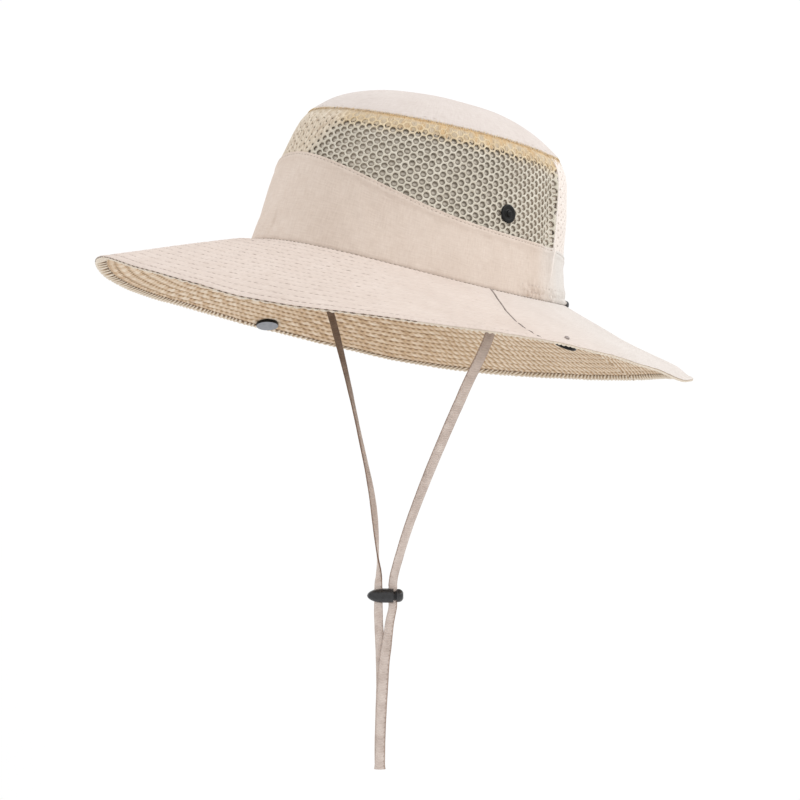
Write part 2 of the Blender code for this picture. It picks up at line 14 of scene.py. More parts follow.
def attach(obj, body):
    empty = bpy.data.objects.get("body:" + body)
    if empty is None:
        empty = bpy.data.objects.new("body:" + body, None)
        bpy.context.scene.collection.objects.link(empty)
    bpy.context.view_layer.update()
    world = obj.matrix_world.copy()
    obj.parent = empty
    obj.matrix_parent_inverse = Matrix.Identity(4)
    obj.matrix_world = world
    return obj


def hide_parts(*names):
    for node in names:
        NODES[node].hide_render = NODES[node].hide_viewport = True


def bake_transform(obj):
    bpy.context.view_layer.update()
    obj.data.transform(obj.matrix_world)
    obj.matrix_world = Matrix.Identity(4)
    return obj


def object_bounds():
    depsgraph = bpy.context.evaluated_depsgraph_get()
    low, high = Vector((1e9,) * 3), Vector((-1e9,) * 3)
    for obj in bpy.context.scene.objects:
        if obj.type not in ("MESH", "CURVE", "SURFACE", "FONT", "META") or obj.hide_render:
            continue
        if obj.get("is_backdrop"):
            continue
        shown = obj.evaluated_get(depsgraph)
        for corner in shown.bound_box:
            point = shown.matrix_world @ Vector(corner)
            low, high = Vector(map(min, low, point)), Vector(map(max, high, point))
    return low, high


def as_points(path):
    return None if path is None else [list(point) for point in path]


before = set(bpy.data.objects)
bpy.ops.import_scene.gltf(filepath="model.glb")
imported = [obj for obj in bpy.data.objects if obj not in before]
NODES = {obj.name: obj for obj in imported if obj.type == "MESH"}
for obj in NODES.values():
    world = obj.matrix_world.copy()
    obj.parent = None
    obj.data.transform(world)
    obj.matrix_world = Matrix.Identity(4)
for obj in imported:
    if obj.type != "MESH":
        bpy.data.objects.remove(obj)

CAD_LO, CAD_HI = (list(v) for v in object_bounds())
RNG = np.random.default_rng(11)
PI = math.pi

# ------------------------------------------------------------------ camera
CAM_R = Vector((0.56352605, 0.82609829, 0.0))
CAM_U = Vector((-0.06337746, 0.04323317, 0.99705275))
CAM_C = Vector((0.82366358, -0.5618652, 0.07671903))
CAM_AT = Vector((1.31977798, -0.90677003, 0.04515723))
cam_data = bpy.data.cameras.new("camera")
cam_data.lens = 117.85
cam_data.sensor_width = 36.0
cam_data.clip_start, cam_data.clip_end = 0.05, 30.0
camera = bpy.data.objects.new("camera", cam_data)
bpy.context.scene.collection.objects.link(camera)
camera.matrix_world = Matrix([[CAM_R[k], CAM_U[k], CAM_C[k], CAM_AT[k]] for k in range(3)] + [[0, 0, 0, 1]])
bpy.context.scene.camera = camera

# ------------------------------------------------------------------ dimensions, as the frame has them
PITCH = math.radians(-12.1)
BASE_A, BASE_B, BASE_DIP = 0.085, 0.103, 0.0074
SEAM_H, TAPE_LOW_H = 0.084, 0.0765
CROWN_PROFILE = ((1.000, 0.0), (0.9476, 0.030), (0.9058, 0.055), (0.8663, 0.072), (0.800, 0.0824),
                 (0.650, 0.0947), (0.450, 0.1031), (0.200, 0.1061), (0.0, 0.1069))
WAVE = (0.0354, 0.01175, 0.0042, 0.0025)
BRIM_A, BRIM_BF, BRIM_BB = 0.1665, 0.1925, 0.1902
EDGE_Z = -0.0375
EDGE_COS = (0.0003, 0.0024, -0.0002, 0.0015)
EDGE_SIN = (0.0008, -0.0031, -0.0009)
FABRIC, GAP = 0.0005, 0.0003
SWEAT_T, SWEAT_H, CORD_ROOM = 0.0012, 0.024, 0.0036
FOLD_X, FOLD_Z = 0.1035, -0.0136
SNAP_T, SNAP_Y, STUD_H = 0.862, {"left": 0.0085, "right": 0.0010}, 0.0425
CORD_W, CORD_T = 0.0050, 0.0013
ANCHOR = {"left": (0.0784, 0.0100), "right": (-0.0784, -0.0080)}
ANCHOR_W, ANCHOR_T, ANCHOR_H, ANCHOR_LOW = 0.010, 0.0014, 0.015, -0.0115
LP = np.array((0.0001, -0.0175, -0.1975))
LOCK_AZ = math.radians(55.7)
STRAND = {"left": 0.0047, "right": -0.0042}
TAIL_Z = -0.3041
REAR_POS, REAR_TILT = (0.0, 0.1065, 0.0055), math.radians(-10.0)
REAR_L, REAR_R, REAR_HOLE = 0.0135, 0.0042, 0.0075
SIZE_CORD_R, EYELET_X = 0.0010, 0.0165
ROUTE = {
    "left": ((0.0713, 0.0071, -0.0359), (0.0536, -0.0005, -0.0704), (0.0345, -0.0068, -0.1111),
             (0.0171, -0.0118, -0.1520), (0.0062, -0.0138, -0.1800)),
    "right": ((-0.0705, -0.0108, -0.0288), (-0.0544, -0.0104, -0.0641), (-0.0385, -0.0110, -0.1007),
              (-0.0211, -0.0127, -0.1403), (-0.0070, -0.0178, -0.1790)),
}
E1 = np.array((math.cos(LOCK_AZ), math.sin(LOCK_AZ), 0.0))
E2 = np.array((math.sin(LOCK_AZ), -math.cos(LOCK_AZ), 0.0))
E3 = np.array((0.0, 0.0, 1.0))
T_EDGE = 1 - 0.0009 / 0.085
N_ROWS = 16                  # stitch rows across the brim
STITCH = 0.0040
BEND = {"left": ((0.0865, 0, 0), (0.1205, 0, 0)), "right": ((-0.0865, 0, 0), (-0.1205, 0, 0))}


# ------------------------------------------------------------------ small helpers
def tilt(p):
    p = np.asarray(p, float)
    c, s = math.cos(PITCH), math.sin(PITCH)
    return np.stack([p[..., 0], p[..., 1] * c - p[..., 2] * s, p[..., 1] * s + p[..., 2] * c], -1)


def unit(v):
    return v / np.maximum(np.linalg.norm(v, axis=-1, keepdims=True), 1e-12)


def wrap(a):
    return (np.asarray(a) + PI) % (2 * PI) - PI


def ease(x, a, b):
    t = np.clip((np.asarray(x, float) - a) / (b - a), 0, 1)
    return t * t * (3 - 2 * t)


def bell(x, w):
    return np.exp(-(np.asarray(x) / w) ** 2)


def smooth_curve(pts, per=12):
    p = np.asarray(pts, float)
    p = np.vstack([2 * p[0] - p[1], p, 2 * p[-1] - p[-2]])
    out = []
    for i in range(1, len(p) - 2):
        t = (np.arange(per) / per)[:, None]
        a, b, c, d = p[i - 1], p[i], p[i + 1], p[i + 2]
        out.append(0.5 * (2 * b + (c - a) * t + (2 * a - 5 * b + 4 * c - d) * t * t + (3 * b - a - 3 * c + d) * t ** 3))
    return np.vstack(out + [p[-2][None]])


def even(pts, step=None, count=None):
    seg = np.linalg.norm(np.diff(pts, axis=0), axis=1)
    s = np.concatenate([[0], np.cumsum(seg)])
    n = count or max(2, int(round(s[-1] / step)) + 1)
    q = np.linspace(0, s[-1], n)
    return np.stack([np.interp(q, s, pts[:, k]) for k in range(3)], -1)


def length_of(pts):
    return float(np.linalg.norm(np.diff(pts, axis=0), axis=1).sum())


def hum(x, y, seed, lx, ly, n=7):
    """Soft irregular ripple of about unit size: a seeded sum of sines with wavelengths near lx and ly."""
    r = np.random.default_rng(seed)
    out = 0.0
    for _ in range(n):
        kx, ky = 2 * PI / (lx * r.uniform(0.7, 1.5)), 2 * PI / (ly * r.uniform(0.7, 1.5))
        out = out + np.sin(kx * x * r.choice((-1, 1)) + ky * y + r.uniform(0, 2 * PI))
    return out / math.sqrt(n)


# ------------------------------------------------------------------ the hat's surfaces
PROF = smooth_curve(CROWN_PROFILE, 240)
PROF[:, 1] = np.maximum.accumulate(PROF[:, 1])
PLEN = np.concatenate([[0], np.cumsum(np.hypot(np.diff(PROF[:, 0]) * 0.094, np.diff(PROF[:, 1])))])
S_END = PLEN[-1]


def s_of_h(h):
    return np.interp(h, PROF[:, 1], PLEN)


def h_of_s(s):
    return np.interp(s, PLEN, PROF[:, 1])


_ph = np.linspace(0, 2 * PI, 4001)
_arc = np.concatenate([[0], np.cumsum(np.hypot(BASE_A * np.cos(0.5 * (_ph[1:] + _ph[:-1])), BASE_B * np.sin(0.5 * (_ph[1:] + _ph[:-1]))) * np.diff(_ph))])
ROUND = _arc[-1]             # length round the head opening


def arc_of(phi):
    k = np.floor(np.asarray(phi) / (2 * PI))
    return np.interp(phi - k * 2 * PI, _ph, _arc) + k * ROUND


def phi_of(arc):
    k = np.floor(np.asarray(arc) / ROUND)
    return np.interp(arc - k * ROUND, _arc, _ph) + k * 2 * PI


def base_z(phi):
    return -BASE_DIP * np.sin(phi) ** 2


def edge_z(phi):
    return (EDGE_Z + sum(k * np.cos((i + 1) * phi) for i, k in enumerate(EDGE_COS))
            + sum(k * np.sin((i + 1) * phi) for i, k in enumerate(EDGE_SIN)))


def wave_h(phi):
    return sum(k * np.cos(i * phi) for i, k in enumerate(WAVE))


def crown_raw(phi, s):
    f = np.interp(s, PLEN, PROF[:, 0])
    h = np.interp(s, PLEN, PROF[:, 1])
    fade = np.maximum(0.0, 1 - h / 0.087)
    return np.stack([BASE_A * f * np.sin(phi), -BASE_B * f * np.cos(phi), h + fade * base_z(phi)], -1)


def crown_soft(phi, h):
    """Creases and shallow dents of the soft crown, along its normal."""
    d = 0.0
    for at, amp in ((124.6, 1.8), (-124.6, 1.2)):
        x = wrap(phi - math.radians(at)) * 0.094
        env = ease(h, 0.004, 0.020) * (1 - ease(h, 0.072, 0.086)) * amp
        lean = (h - 0.045) * 0.18
        d = d + env * (0.0010 * bell(x - lean, 0.0015) - 0.0008 * bell(x - lean + 0.0065, 0.0042)
                       - 0.0006 * bell(x - lean - 0.0062, 0.0040))
    for at, h0, wx, wh, amp in ((108.0, 0.020, 0.0040, 0.012, -0.0007), (112.5, 0.021, 0.0035, 0.012, 0.0006),
                                (-112.0, 0.022, 0.0040, 0.012, -0.0007), (20.0, 0.030, 0.016, 0.014, -0.0005),
                                (70.0, 0.026, 0.020, 0.014, 0.0005), (-60.0, 0.030, 0.018, 0.014, -0.0005)):
        x = wrap(phi - math.radians(at)) * 0.094 - (h - h0) * 0.25
        d = d + amp * bell(x, wx) * bell(h - h0, wh)
    for at in (148.0, -148.0):
        d = d + 0.0023 * bell(wrap(phi - math.radians(at)) * 0.094, 0.022) * bell(h - 0.080, 0.013)
    d = d - 0.0021 * bell(wrap(phi + math.radians(34.0)) * 0.094, 0.030) * bell(h - 0.070, 0.024) - 0.0007 * ease(h, 0.094, 0.104)
    low = ease(h, 0.002, 0.02) * (1 - ease(h, 0.070, 0.083)) + 0.25 * ease(h, 0.086, 0.094)
    return d + 0.00050 * low * hum(arc_of(phi), h, 3, 0.10, 0.06)


def crown(phi, s, off=0.0):
    """Points and outward normals on the crown, off along the normal."""
    phi, s = np.broadcast_arrays(np.asarray(phi, float), np.asarray(s, float))
    e, d = 0.004, 0.0012
    p = crown_raw(phi, s)
    n = unit(np.cross(crown_raw(phi + e, s) - crown_raw(phi - e, s), crown_raw(phi, s + d) - crown_raw(phi, s - d)))
    o = off + crown_soft(phi, h_of_s(s))
    return p + n * np.asarray(o)[..., None], n


def brim_raw(phi, t):
    bl = 0.5 * (BRIM_BF + BRIM_BB) + 0.5 * (BRIM_BF - BRIM_BB) * np.cos(phi)
    i = np.stack([BASE_A * np.sin(phi), -BASE_B * np.cos(phi), base_z(phi)], -1)
    o = np.stack([BRIM_A * np.sin(phi), -bl * np.cos(phi), edge_z(phi)], -1)
    return i + (o - i) * np.asarray(t)[..., None]


def brim_soft(phi, t):
    """Gentle wave of the stiffened brim, along its normal."""
    x = np.asarray(phi) * 0.13
    wide = ease(t, 0.03, 0.5)
    deg = np.degrees(phi)
    peak = bell(deg + 14.0, np.where(deg > -14.0, 14.0, 22.0)) * ease(t, 0.0, 0.12) * (0.50 + 0.50 * np.asarray(t))
    tip = bell(deg - 140.0, np.where(deg > 140.0, 24.0, 16.0)) * ease(t, 0.45, 1.0)
    turn = np.where(deg < -60.0, deg + 360.0, deg)
    curl = 0.0038 * bell(deg - 34.0, 15.0) * ease(t, 0.70, 1.0) + 0.0040 * bell(deg - 130.0, 12.0) * ease(t, 0.86, 1.0)
    lift = 0.0025 * bell(turn - 167.0, 13.0) + 0.0012 * bell(deg + 73.0, 12.0) + 0.0007 * bell(deg - 84.0, 14.0) - 0.0008 * bell(deg - 110.0, 10.0)
    return (0.0042 * peak + 0.0038 * tip - curl + lift * ease(t, 0.50, 1.0)
            + wide * (0.00035 * hum(x, t * 0.09, 21, 0.13, 0.2) + 0.00012 * hum(x, t * 0.09, 22, 0.035, 0.09)))


def brim(phi, t, off=0.0):
    phi, t = np.broadcast_arrays(np.asarray(phi, float), np.asarray(t, float))
    e, d = 0.004, 0.01
    p = brim_raw(phi, t)
    n = -unit(np.cross(brim_raw(phi + e, t) - brim_raw(phi - e, t), brim_raw(phi, t + d) - brim_raw(phi, t - d)))
    o = off + brim_soft(wrap(phi), t)
    return p + n * np.asarray(o)[..., None], n


def span_t(phi):
    """Length of the brim from the crown seam to its edge."""
    return np.linalg.norm(brim_raw(phi, np.ones_like(phi)) - brim_raw(phi, np.zeros_like(phi)), axis=-1)


# side seam of the brim: angle from the front at each share of the width
_seam_t = np.array((0.0, 0.24, 0.49, 0.68, 0.82, 0.90, 1.0))
_seam_p = np.radians((90.3, 86.8, 84.3, 83.5, 83.5, 84.2, 85.3))


def seam_phi(t):
    return np.interp(t, _seam_t, _seam_p)


# ------------------------------------------------------------------ materials
def srgb(r, g, b):
    def lin(v):
        v /= 255.0
        return v / 12.92 if v <= 0.04045 else ((v + 0.055) / 1.055) ** 2.4
    return (lin(r), lin(g), lin(b), 1.0)


class Mat:
    """A material with a Principled shader and short calls for adding nodes."""

    def __init__(self, name, rough=0.8, metal=0.0, spec=0.3, sheen=0.0, coat=0.0):
        self.m = bpy.data.materials.new(name)
        self.m.use_nodes = True
        self.t = self.m.node_tree
        self.t.nodes.clear()
        self.b = self.t.nodes.new("ShaderNodeBsdfPrincipled")
        out = self.t.nodes.new("ShaderNodeOutputMaterial")
        self.t.links.new(self.b.outputs["BSDF"], out.inputs["Surface"])
        self.b.inputs["Roughness"].default_value = rough
        self.b.inputs["Metallic"].default_value = metal
        self.b.inputs["Specular IOR Level"].default_value = spec
        self.b.inputs["Sheen Weight"].default_value = sheen
        self.b.inputs["Sheen Roughness"].default_value = 0.45
        self.b.inputs["Coat Weight"].default_value = coat

    def node(self, kind, ins=None, **props):
        n = self.t.nodes.new("ShaderNode" + kind)
        for k, v in props.items():
            setattr(n, k, v)
        for k, v in (ins or {}).items():
            if isinstance(v, bpy.types.NodeSocket):
                self.t.links.new(v, n.inputs[k])
            else:
                n.inputs[k].default_value = v
        return n

    def coords(self, which="UV"):
        return self.node("TexCoord").outputs[which]

    def scaled(self, src, scale):
        return self.node("Mapping", {"Vector": src, "Scale": scale}).outputs["Vector"]

    def noise(self, src, scale=1.0, detail=3.0, rough=0.55, distort=0.0):
        return self.node("TexNoise", {"Vector": src, "Scale": scale, "Detail": detail, "Roughness": rough,
                                      "Distortion": distort}).outputs["Fac"]

    def math(self, op, a, b=None, c=None):
        ins = {0: a}
        if b is not None:
            ins[1] = b
        if c is not None:
            ins[2] = c
        return self.node("Math", ins, operation=op).outputs[0]

    def remap(self, v, a, b, c, d):
        return self.node("MapRange", {"Value": v, "From Min": a, "From Max": b, "To Min": c, "To Max": d}).outputs["Result"]

    def ramp(self, fac, stops):
        n = self.node("ValToRGB", {"Fac": fac})
        e = n.color_ramp.elements
        while len(e) < len(stops):
            e.new(0.5)
        for el, (at, col) in zip(e, stops):
            el.position, el.color = at, col
        return n.outputs["Color"]

    def mix(self, fac, a, b, mode="MIX"):
        n = self.t.nodes.new("ShaderNodeMix")
        n.data_type, n.blend_type = "RGBA", mode
        for sock, v in ((n.inputs[0], fac), (n.inputs[6], a), (n.inputs[7], b)):
            if isinstance(v, bpy.types.NodeSocket):
                self.t.links.new(v, sock)
            else:
                sock.default_value = v
        return n.outputs[2]

    def attr(self, name):
        return self.node("Attribute", attribute_name=name).outputs["Fac"]

    def colour(self, sock):
        self.t.links.new(sock, self.b.inputs["Base Color"])

    def rough(self, sock):
        self.t.links.new(sock, self.b.inputs["Roughness"])

    def bump(self, height, dist, strength=1.0, under=None):
        ins = {"Height": height, "Distance": dist, "Strength": strength}
        if under is not None:
            ins["Normal"] = under
        return self.node("Bump", ins).outputs["Normal"]

    def normal(self, sock):
        self.t.links.new(sock, self.b.inputs["Normal"])


def weave_parts(k, thread, slub):
    """(thread height, slub value, mottling) of a plain weave in cloth coordinates."""
    uv = k.coords("UV")
    sep = k.node("SeparateXYZ", {"Vector": uv})
    w = 2 * PI / thread
    su = k.math("SINE", k.math("MULTIPLY", sep.outputs["X"], w))
    sv = k.math("SINE", k.math("MULTIPLY", sep.outputs["Y"], w))
    over = k.math("MULTIPLY", su, sv)
    weft = k.noise(k.scaled(uv, (1 / slub, 1 / (thread * 1.9), 1.0)), 1.0, 2.0, 0.5)
    warp = k.noise(k.scaled(uv, (1 / (thread * 1.9), 1 / slub, 1.0)), 1.0, 2.0, 0.5)
    return over, k.math("ADD", weft, warp), k.noise(k.coords("Object"), 38.0, 4.0, 0.6)


def cloth(name, dark, mid, light, thread=0.0005, slub=0.007, depth=0.00009, rough=0.9, sheen=0.12, rear=None, fade=(-0.03, 0.06)):
    k = Mat(name, rough=rough, spec=0.22, sheen=sheen)
    over, slubs, mott = weave_parts(k, thread, slub)
    fac = k.math("ADD", k.math("MULTIPLY_ADD", slubs, 0.34, 0.08), k.math("MULTIPLY", mott, 0.30))
    fac = k.math("MULTIPLY_ADD", over, 0.035, fac)
    col = k.ramp(fac, ((0.36, srgb(*dark)), (0.56, srgb(*mid)), (0.76, srgb(*light))))
    # painted light: towards the back (Object Y from fade[0] to fade[1]) the cloth turns to a paler, cooler copy of
    # itself, as if lit from behind
    if rear:
        rear_lit = k.ramp(fac, ((0.36, srgb(*rear[0])), (0.56, srgb(*rear[1])), (0.76, srgb(*rear[2]))))
        back = k.node("SeparateXYZ", {"Vector": k.coords("Object")}).outputs["Y"]
        col = k.mix(k.remap(back, fade[0], fade[1], 0.0, 1.0), col, rear_lit)
    k.colour(col)
    k.rough(k.remap(mott, 0.25, 0.75, rough + 0.05, rough - 0.06))
    h = k.math("MULTIPLY_ADD", slubs, 0.9, k.math("MULTIPLY", over, 0.5))
    fuzz = k.bump(k.noise(k.coords("Object"), 900.0, 3.0, 0.6), 0.00010, 0.35)
    k.normal(k.bump(h, depth, 0.8, fuzz))
    return k.m


MAT = {}
# the rear colours given to the band and brim are that lit copy: painted light on the back of the hat
MAT["band"] = cloth("band_cloth", (206, 189, 175), (218, 202, 189), (228, 214, 202), depth=0.00006, rear=((211, 205, 199), (222, 216, 210), (232, 228, 223)), fade=(0.039, 0.066))
MAT["top"] = cloth("top_cloth", (203, 191, 184), (213, 203, 197), (223, 214, 209), depth=0.00006)
MAT["brim"] = cloth("brim_cloth", (206, 190, 179), (216, 201, 191), (226, 213, 204), depth=0.00006, rear=((208, 199, 192), (218, 210, 204), (228, 221, 216)))
# the pale piping colour, used on the rear crease seam, also paints the highlight along that crease
MAT["piping"] = cloth("piping_cloth", (226, 216, 208), (236, 227, 220), (243, 236, 231), depth=0.00006)
MAT["tab"] = cloth("tab_cloth", (186, 166, 150), (206, 188, 174), (222, 207, 195), thread=0.0006)
MAT["sweat"] = cloth("sweatband_cotton", (190, 172, 156), (208, 192, 178), (222, 208, 196), thread=0.0007, rough=0.95, sheen=0.25)
MAT["core"] = cloth("interlining", (214, 211, 202), (226, 224, 216), (236, 235, 229), thread=0.0009, slub=0.012)


def make_lining(name, dark, mid, light, hollow_shade_mid, hollow_shade_deep):
    """Puckered cloth: tone follows the quilting, with painted shade in the hollows at the stitches."""
    k = Mat(name, rough=0.9, spec=0.2, sheen=0.10)
    over, slubs, mott = weave_parts(k, 0.0006, 0.005)
    fac = k.math("ADD", k.math("MULTIPLY", slubs, 0.40), k.math("MULTIPLY", mott, 0.34))
    cloth_col = k.ramp(fac, ((0.34, srgb(*dark)), (0.56, srgb(*mid)), (0.78, srgb(*light))))
    # painted shade: the 'hollow' attribute darkens the cloth in the quilting's hollows
    hollow = k.ramp(k.attr("hollow"), ((0.10, (1, 1, 1, 1)), (0.55, srgb(*hollow_shade_mid)), (1.0, srgb(*hollow_shade_deep))))
    k.colour(k.mix(1.0, cloth_col, hollow, "MULTIPLY"))
    k.rough(k.remap(mott, 0.25, 0.75, 0.96, 0.84))
    k.normal(k.bump(k.math("MULTIPLY_ADD", slubs, 0.9, k.math("MULTIPLY", over, 0.5)), 0.00010, 0.8))
    return k.m


def make_net():
    """Warp-knit yarn: fine ribs along the yarn, paler on top, golden by the top seam."""
    k = Mat("net_yarn", rough=0.75, spec=0.3, sheen=0.2)
    ob = k.coords("Object")
    fibre = k.noise(k.scaled(ob, (1.0, 1.0, 0.45)), 2600.0, 3.0, 0.6)
    tone = k.noise(ob, 140.0, 3.0, 0.6)
    fac = k.math("MULTIPLY_ADD", fibre, 0.6, k.math("MULTIPLY", tone, 0.4))
    pale = k.ramp(fac, ((0.34, srgb(184, 176, 160)), (0.52, srgb(209, 202, 187)), (0.70, srgb(231, 225, 212))))
    gold = k.ramp(fac, ((0.34, srgb(184, 156, 114)), (0.52, srgb(216, 193, 154)), (0.70, srgb(236, 218, 186))))
    hatch = k.noise(k.node("Mapping", {"Vector": ob, "Rotation": (0.0, 0.75, 0.6), "Scale": (1500.0, 260.0, 260.0)}).outputs["Vector"], 1.0, 2.0, 0.5)
    # 'worn' is only the near zone's tone: beige with diagonal hatching over the forehead, where the knit closes up
    worn = k.ramp(hatch, ((0.34, srgb(178, 157, 134)), (0.50, srgb(208, 193, 172)), (0.66, srgb(226, 213, 194))))
    # painted light: 'rosy' is a paler, pinker yarn mixed in behind the rear crease ('far'), as if lit from the back
    rosy = k.ramp(fac, ((0.34, srgb(222, 210, 201)), (0.52, srgb(233, 223, 215)), (0.70, srgb(242, 235, 229))))
    col = k.mix(k.attr("near"), k.mix(k.attr("gold"), pale, gold), worn)
    k.colour(k.mix(k.attr("far"), col, rosy))
    k.rough(k.remap(tone, 0.3, 0.7, 0.82, 0.66))
    k.normal(k.bump(fibre, 0.00016, 0.7))
    return k.m


def make_shade_backing(du, dv):
    """Thin knit behind the netting, puffed and paler in the middle of every hole. Its dim colour is painted shade for
    the crown's inside seen through the holes; the paler hole centres and the 'lit' zones are painted light.
    """
    k = Mat("net_shade_backing", rough=0.9, spec=0.2)
    uv = k.coords("UV")
    sep = k.node("SeparateXYZ", {"Vector": uv})
    puff = k.math("MULTIPLY", k.math("COSINE", k.math("MULTIPLY", sep.outputs["X"], PI / du)), k.math("COSINE", k.math("MULTIPLY", sep.outputs["Y"], 2 * PI / dv)))
    tone = k.noise(k.coords("Object"), 330.0, 3.0, 0.6)
    fac = k.math("MULTIPLY_ADD", tone, 0.35, k.remap(puff, -0.2, 1.0, 0.0, 0.65))
    dim = k.ramp(fac, ((0.14, srgb(132, 123, 110)), (0.45, srgb(165, 155, 142)), (0.78, srgb(208, 200, 187))))
    pale = k.ramp(fac, ((0.14, srgb(190, 175, 158)), (0.45, srgb(208, 196, 180)), (0.78, srgb(230, 221, 209))))
    k.colour(k.mix(k.attr("lit"), dim, pale))
    k.rough(k.remap(tone, 0.3, 0.7, 0.96, 0.84))
    k.normal(k.bump(k.math("MULTIPLY_ADD", tone, 0.4, puff), 0.00025, 0.8))
    return k.m


def make_tape():
    """Golden tape of upright fibres, with loose threads."""
    k = Mat("seam_tape_fibre", rough=0.62, spec=0.35, sheen=0.25)
    uv = k.coords("UV")
    fine = k.noise(k.scaled(uv, (1 / 0.00055, 1 / 0.006, 1.0)), 1.0, 3.0, 0.6)
    broad = k.noise(k.scaled(uv, (1 / 0.004, 1 / 0.009, 1.0)), 1.0, 3.0, 0.6)
    fac = k.math("MULTIPLY_ADD", fine, 0.62, k.math("MULTIPLY", broad, 0.38))
    straw = k.ramp(fac, ((0.30, srgb(147, 126, 97)), (0.46, srgb(189, 172, 147)), (0.58, srgb(202, 186, 162)), (0.74, srgb(224, 212, 191))))
    warm = k.ramp(fac, ((0.30, srgb(172, 134, 88)), (0.46, srgb(199, 163, 113)), (0.58, srgb(212, 179, 130)), (0.74, srgb(230, 206, 165))))
    patch = k.noise(k.scaled(uv, (1 / 0.009, 1 / 0.02, 1.0)), 1.0, 2.0, 0.5)
    patch = k.math("MULTIPLY", k.remap(patch, 0.47, 0.64, 0.0, 0.8), k.attr("aged"))
    top = float(s_of_h(SEAM_H))
    ragged = k.math("MULTIPLY_ADD", broad, 0.0030, k.node("SeparateXYZ", {"Vector": uv}).outputs["Y"])
    rise = k.math("MULTIPLY", k.remap(ragged, top - 0.0026, top - 0.0004, 0.0, 0.9), k.attr("aged"))
    k.colour(k.mix(k.math("MAXIMUM", patch, rise), straw, warm))
    k.rough(k.remap(fine, 0.3, 0.7, 0.75, 0.5))
    k.normal(k.bump(fine, 0.00022, 0.9))
    return k.m


def make_thread(name, dark, mid, light):
    """Two-ply sewing thread: a fine slant twist along each stitch."""
    k = Mat(name, rough=0.6, spec=0.35, sheen=0.2)
    uv = k.coords("UV")
    sep = k.node("SeparateXYZ", {"Vector": uv})
    ang = k.math("MULTIPLY_ADD", sep.outputs["X"], 2 * PI / 0.0007, k.math("MULTIPLY", sep.outputs["Y"], 2 * PI * 2))
    ply = k.math("SINE", ang)
    tone = k.noise(k.coords("Object"), 210.0, 3.0, 0.6)
    fac = k.math("MULTIPLY_ADD", ply, 0.10, tone)
    k.colour(k.ramp(fac, ((0.32, srgb(*dark)), (0.5, srgb(*mid)), (0.68, srgb(*light)))))
    k.rough(k.remap(tone, 0.3, 0.7, 0.7, 0.5))
    k.normal(k.bump(ply, 0.00005, 0.8))
    return k.m


def make_braid(name, dark, mid, light, pitch, across, flat=False):
    """Flat or round braid: slant plaits that meet in a herringbone.  A flat one has painted shade towards its edges,
    strongest along one, and a stitched line.
    """
    k = Mat(name, rough=0.8, spec=0.25, sheen=0.2)
    uv = k.coords("UV")
    sep = k.node("SeparateXYZ", {"Vector": uv})
    slant = k.math("PINGPONG", k.math("MULTIPLY", sep.outputs["Y"], across), 0.5)
    ang = k.math("MULTIPLY_ADD", sep.outputs["X"], 2 * PI / pitch, k.math("MULTIPLY", slant, 2 * PI * 1.6))
    plait = k.math("SINE", ang)
    along = k.noise(k.scaled(uv, (1 / 0.012, 3.0, 1.0)), 1.0, 3.0, 0.6)
    tone = k.noise(k.coords("Object"), 160.0, 4.0, 0.65)
    fac = k.math("ADD", k.math("MULTIPLY_ADD", plait, 0.03 if flat else 0.085, k.math("MULTIPLY", tone, 0.55)), k.math("MULTIPLY", along, 0.42))
    col = k.ramp(fac, ((0.28, srgb(*dark)), (0.48, srgb(*mid)), (0.70, srgb(*light))))
    if flat:
        over = k.math("COSINE", k.math("MULTIPLY", sep.outputs["Y"], 2 * PI))          # 1 and -1 at the two selvedges
        # painted shade: the tape darkens towards its edges, strongly along one edge and a little along the other
        edge = k.ramp(k.remap(over, -1.0, 1.0, 0.0, 1.0), ((0.0, srgb(226, 216, 208)), (0.10, (1, 1, 1, 1)), (0.80, (1, 1, 1, 1)), (0.97, srgb(192, 172, 158)),
                                                           (1.0, srgb(150, 128, 112))))
        col = k.mix(1.0, col, edge, "MULTIPLY")
        dash = k.math("SINE", k.math("MULTIPLY", sep.outputs["X"], 2 * PI / 0.0030))
        line = k.ramp(over, ((0.40, (0, 0, 0, 1)), (0.62, (1, 1, 1, 1)), (0.84, (0, 0, 0, 1))))
        dots = k.math("MULTIPLY", line, k.remap(dash, 0.0, 0.8, 0.0, 0.5))
        col = k.mix(dots, col, srgb(116, 96, 84))
        # painted shade: the cord's 'top' attribute mixes in dark brown where it hangs just under the brim
        top = k.attr("top")
        col = k.mix(k.math("MULTIPLY", top, 0.85), col, k.ramp(fac, ((0.28, srgb(84, 64, 46)), (0.70, srgb(134, 109, 87)))))
    k.colour(col)
    k.rough(k.remap(tone, 0.3, 0.7, 0.88, 0.72))
    fuzz = k.bump(k.noise(k.coords("Object"), 1500.0, 2.0, 0.6), 0.00010, 0.5)
    k.normal(k.bump(plait, 0.00006 if flat else 0.00016, 0.9, fuzz))
    return k.m


def make_black(name, dark, light, rough, metal=0.0, spec=0.5, grain=2600.0, depth=0.00003, coat=0.0):
    """Moulded or lacquered black: fine surface grain, worn a little paler in places."""
    k = Mat(name, rough=rough, metal=metal, spec=spec, coat=coat)
    ob = k.coords("Object")
    fine = k.noise(ob, grain, 3.0, 0.6)
    wear = k.noise(ob, 420.0, 4.0, 0.65)
    k.colour(k.ramp(wear, ((0.35, srgb(*dark)), (0.72, srgb(*light)))))
    k.rough(k.remap(wear, 0.3, 0.75, rough - 0.06, rough + 0.12))
    k.normal(k.bump(fine, depth, 0.6))
    return k.m


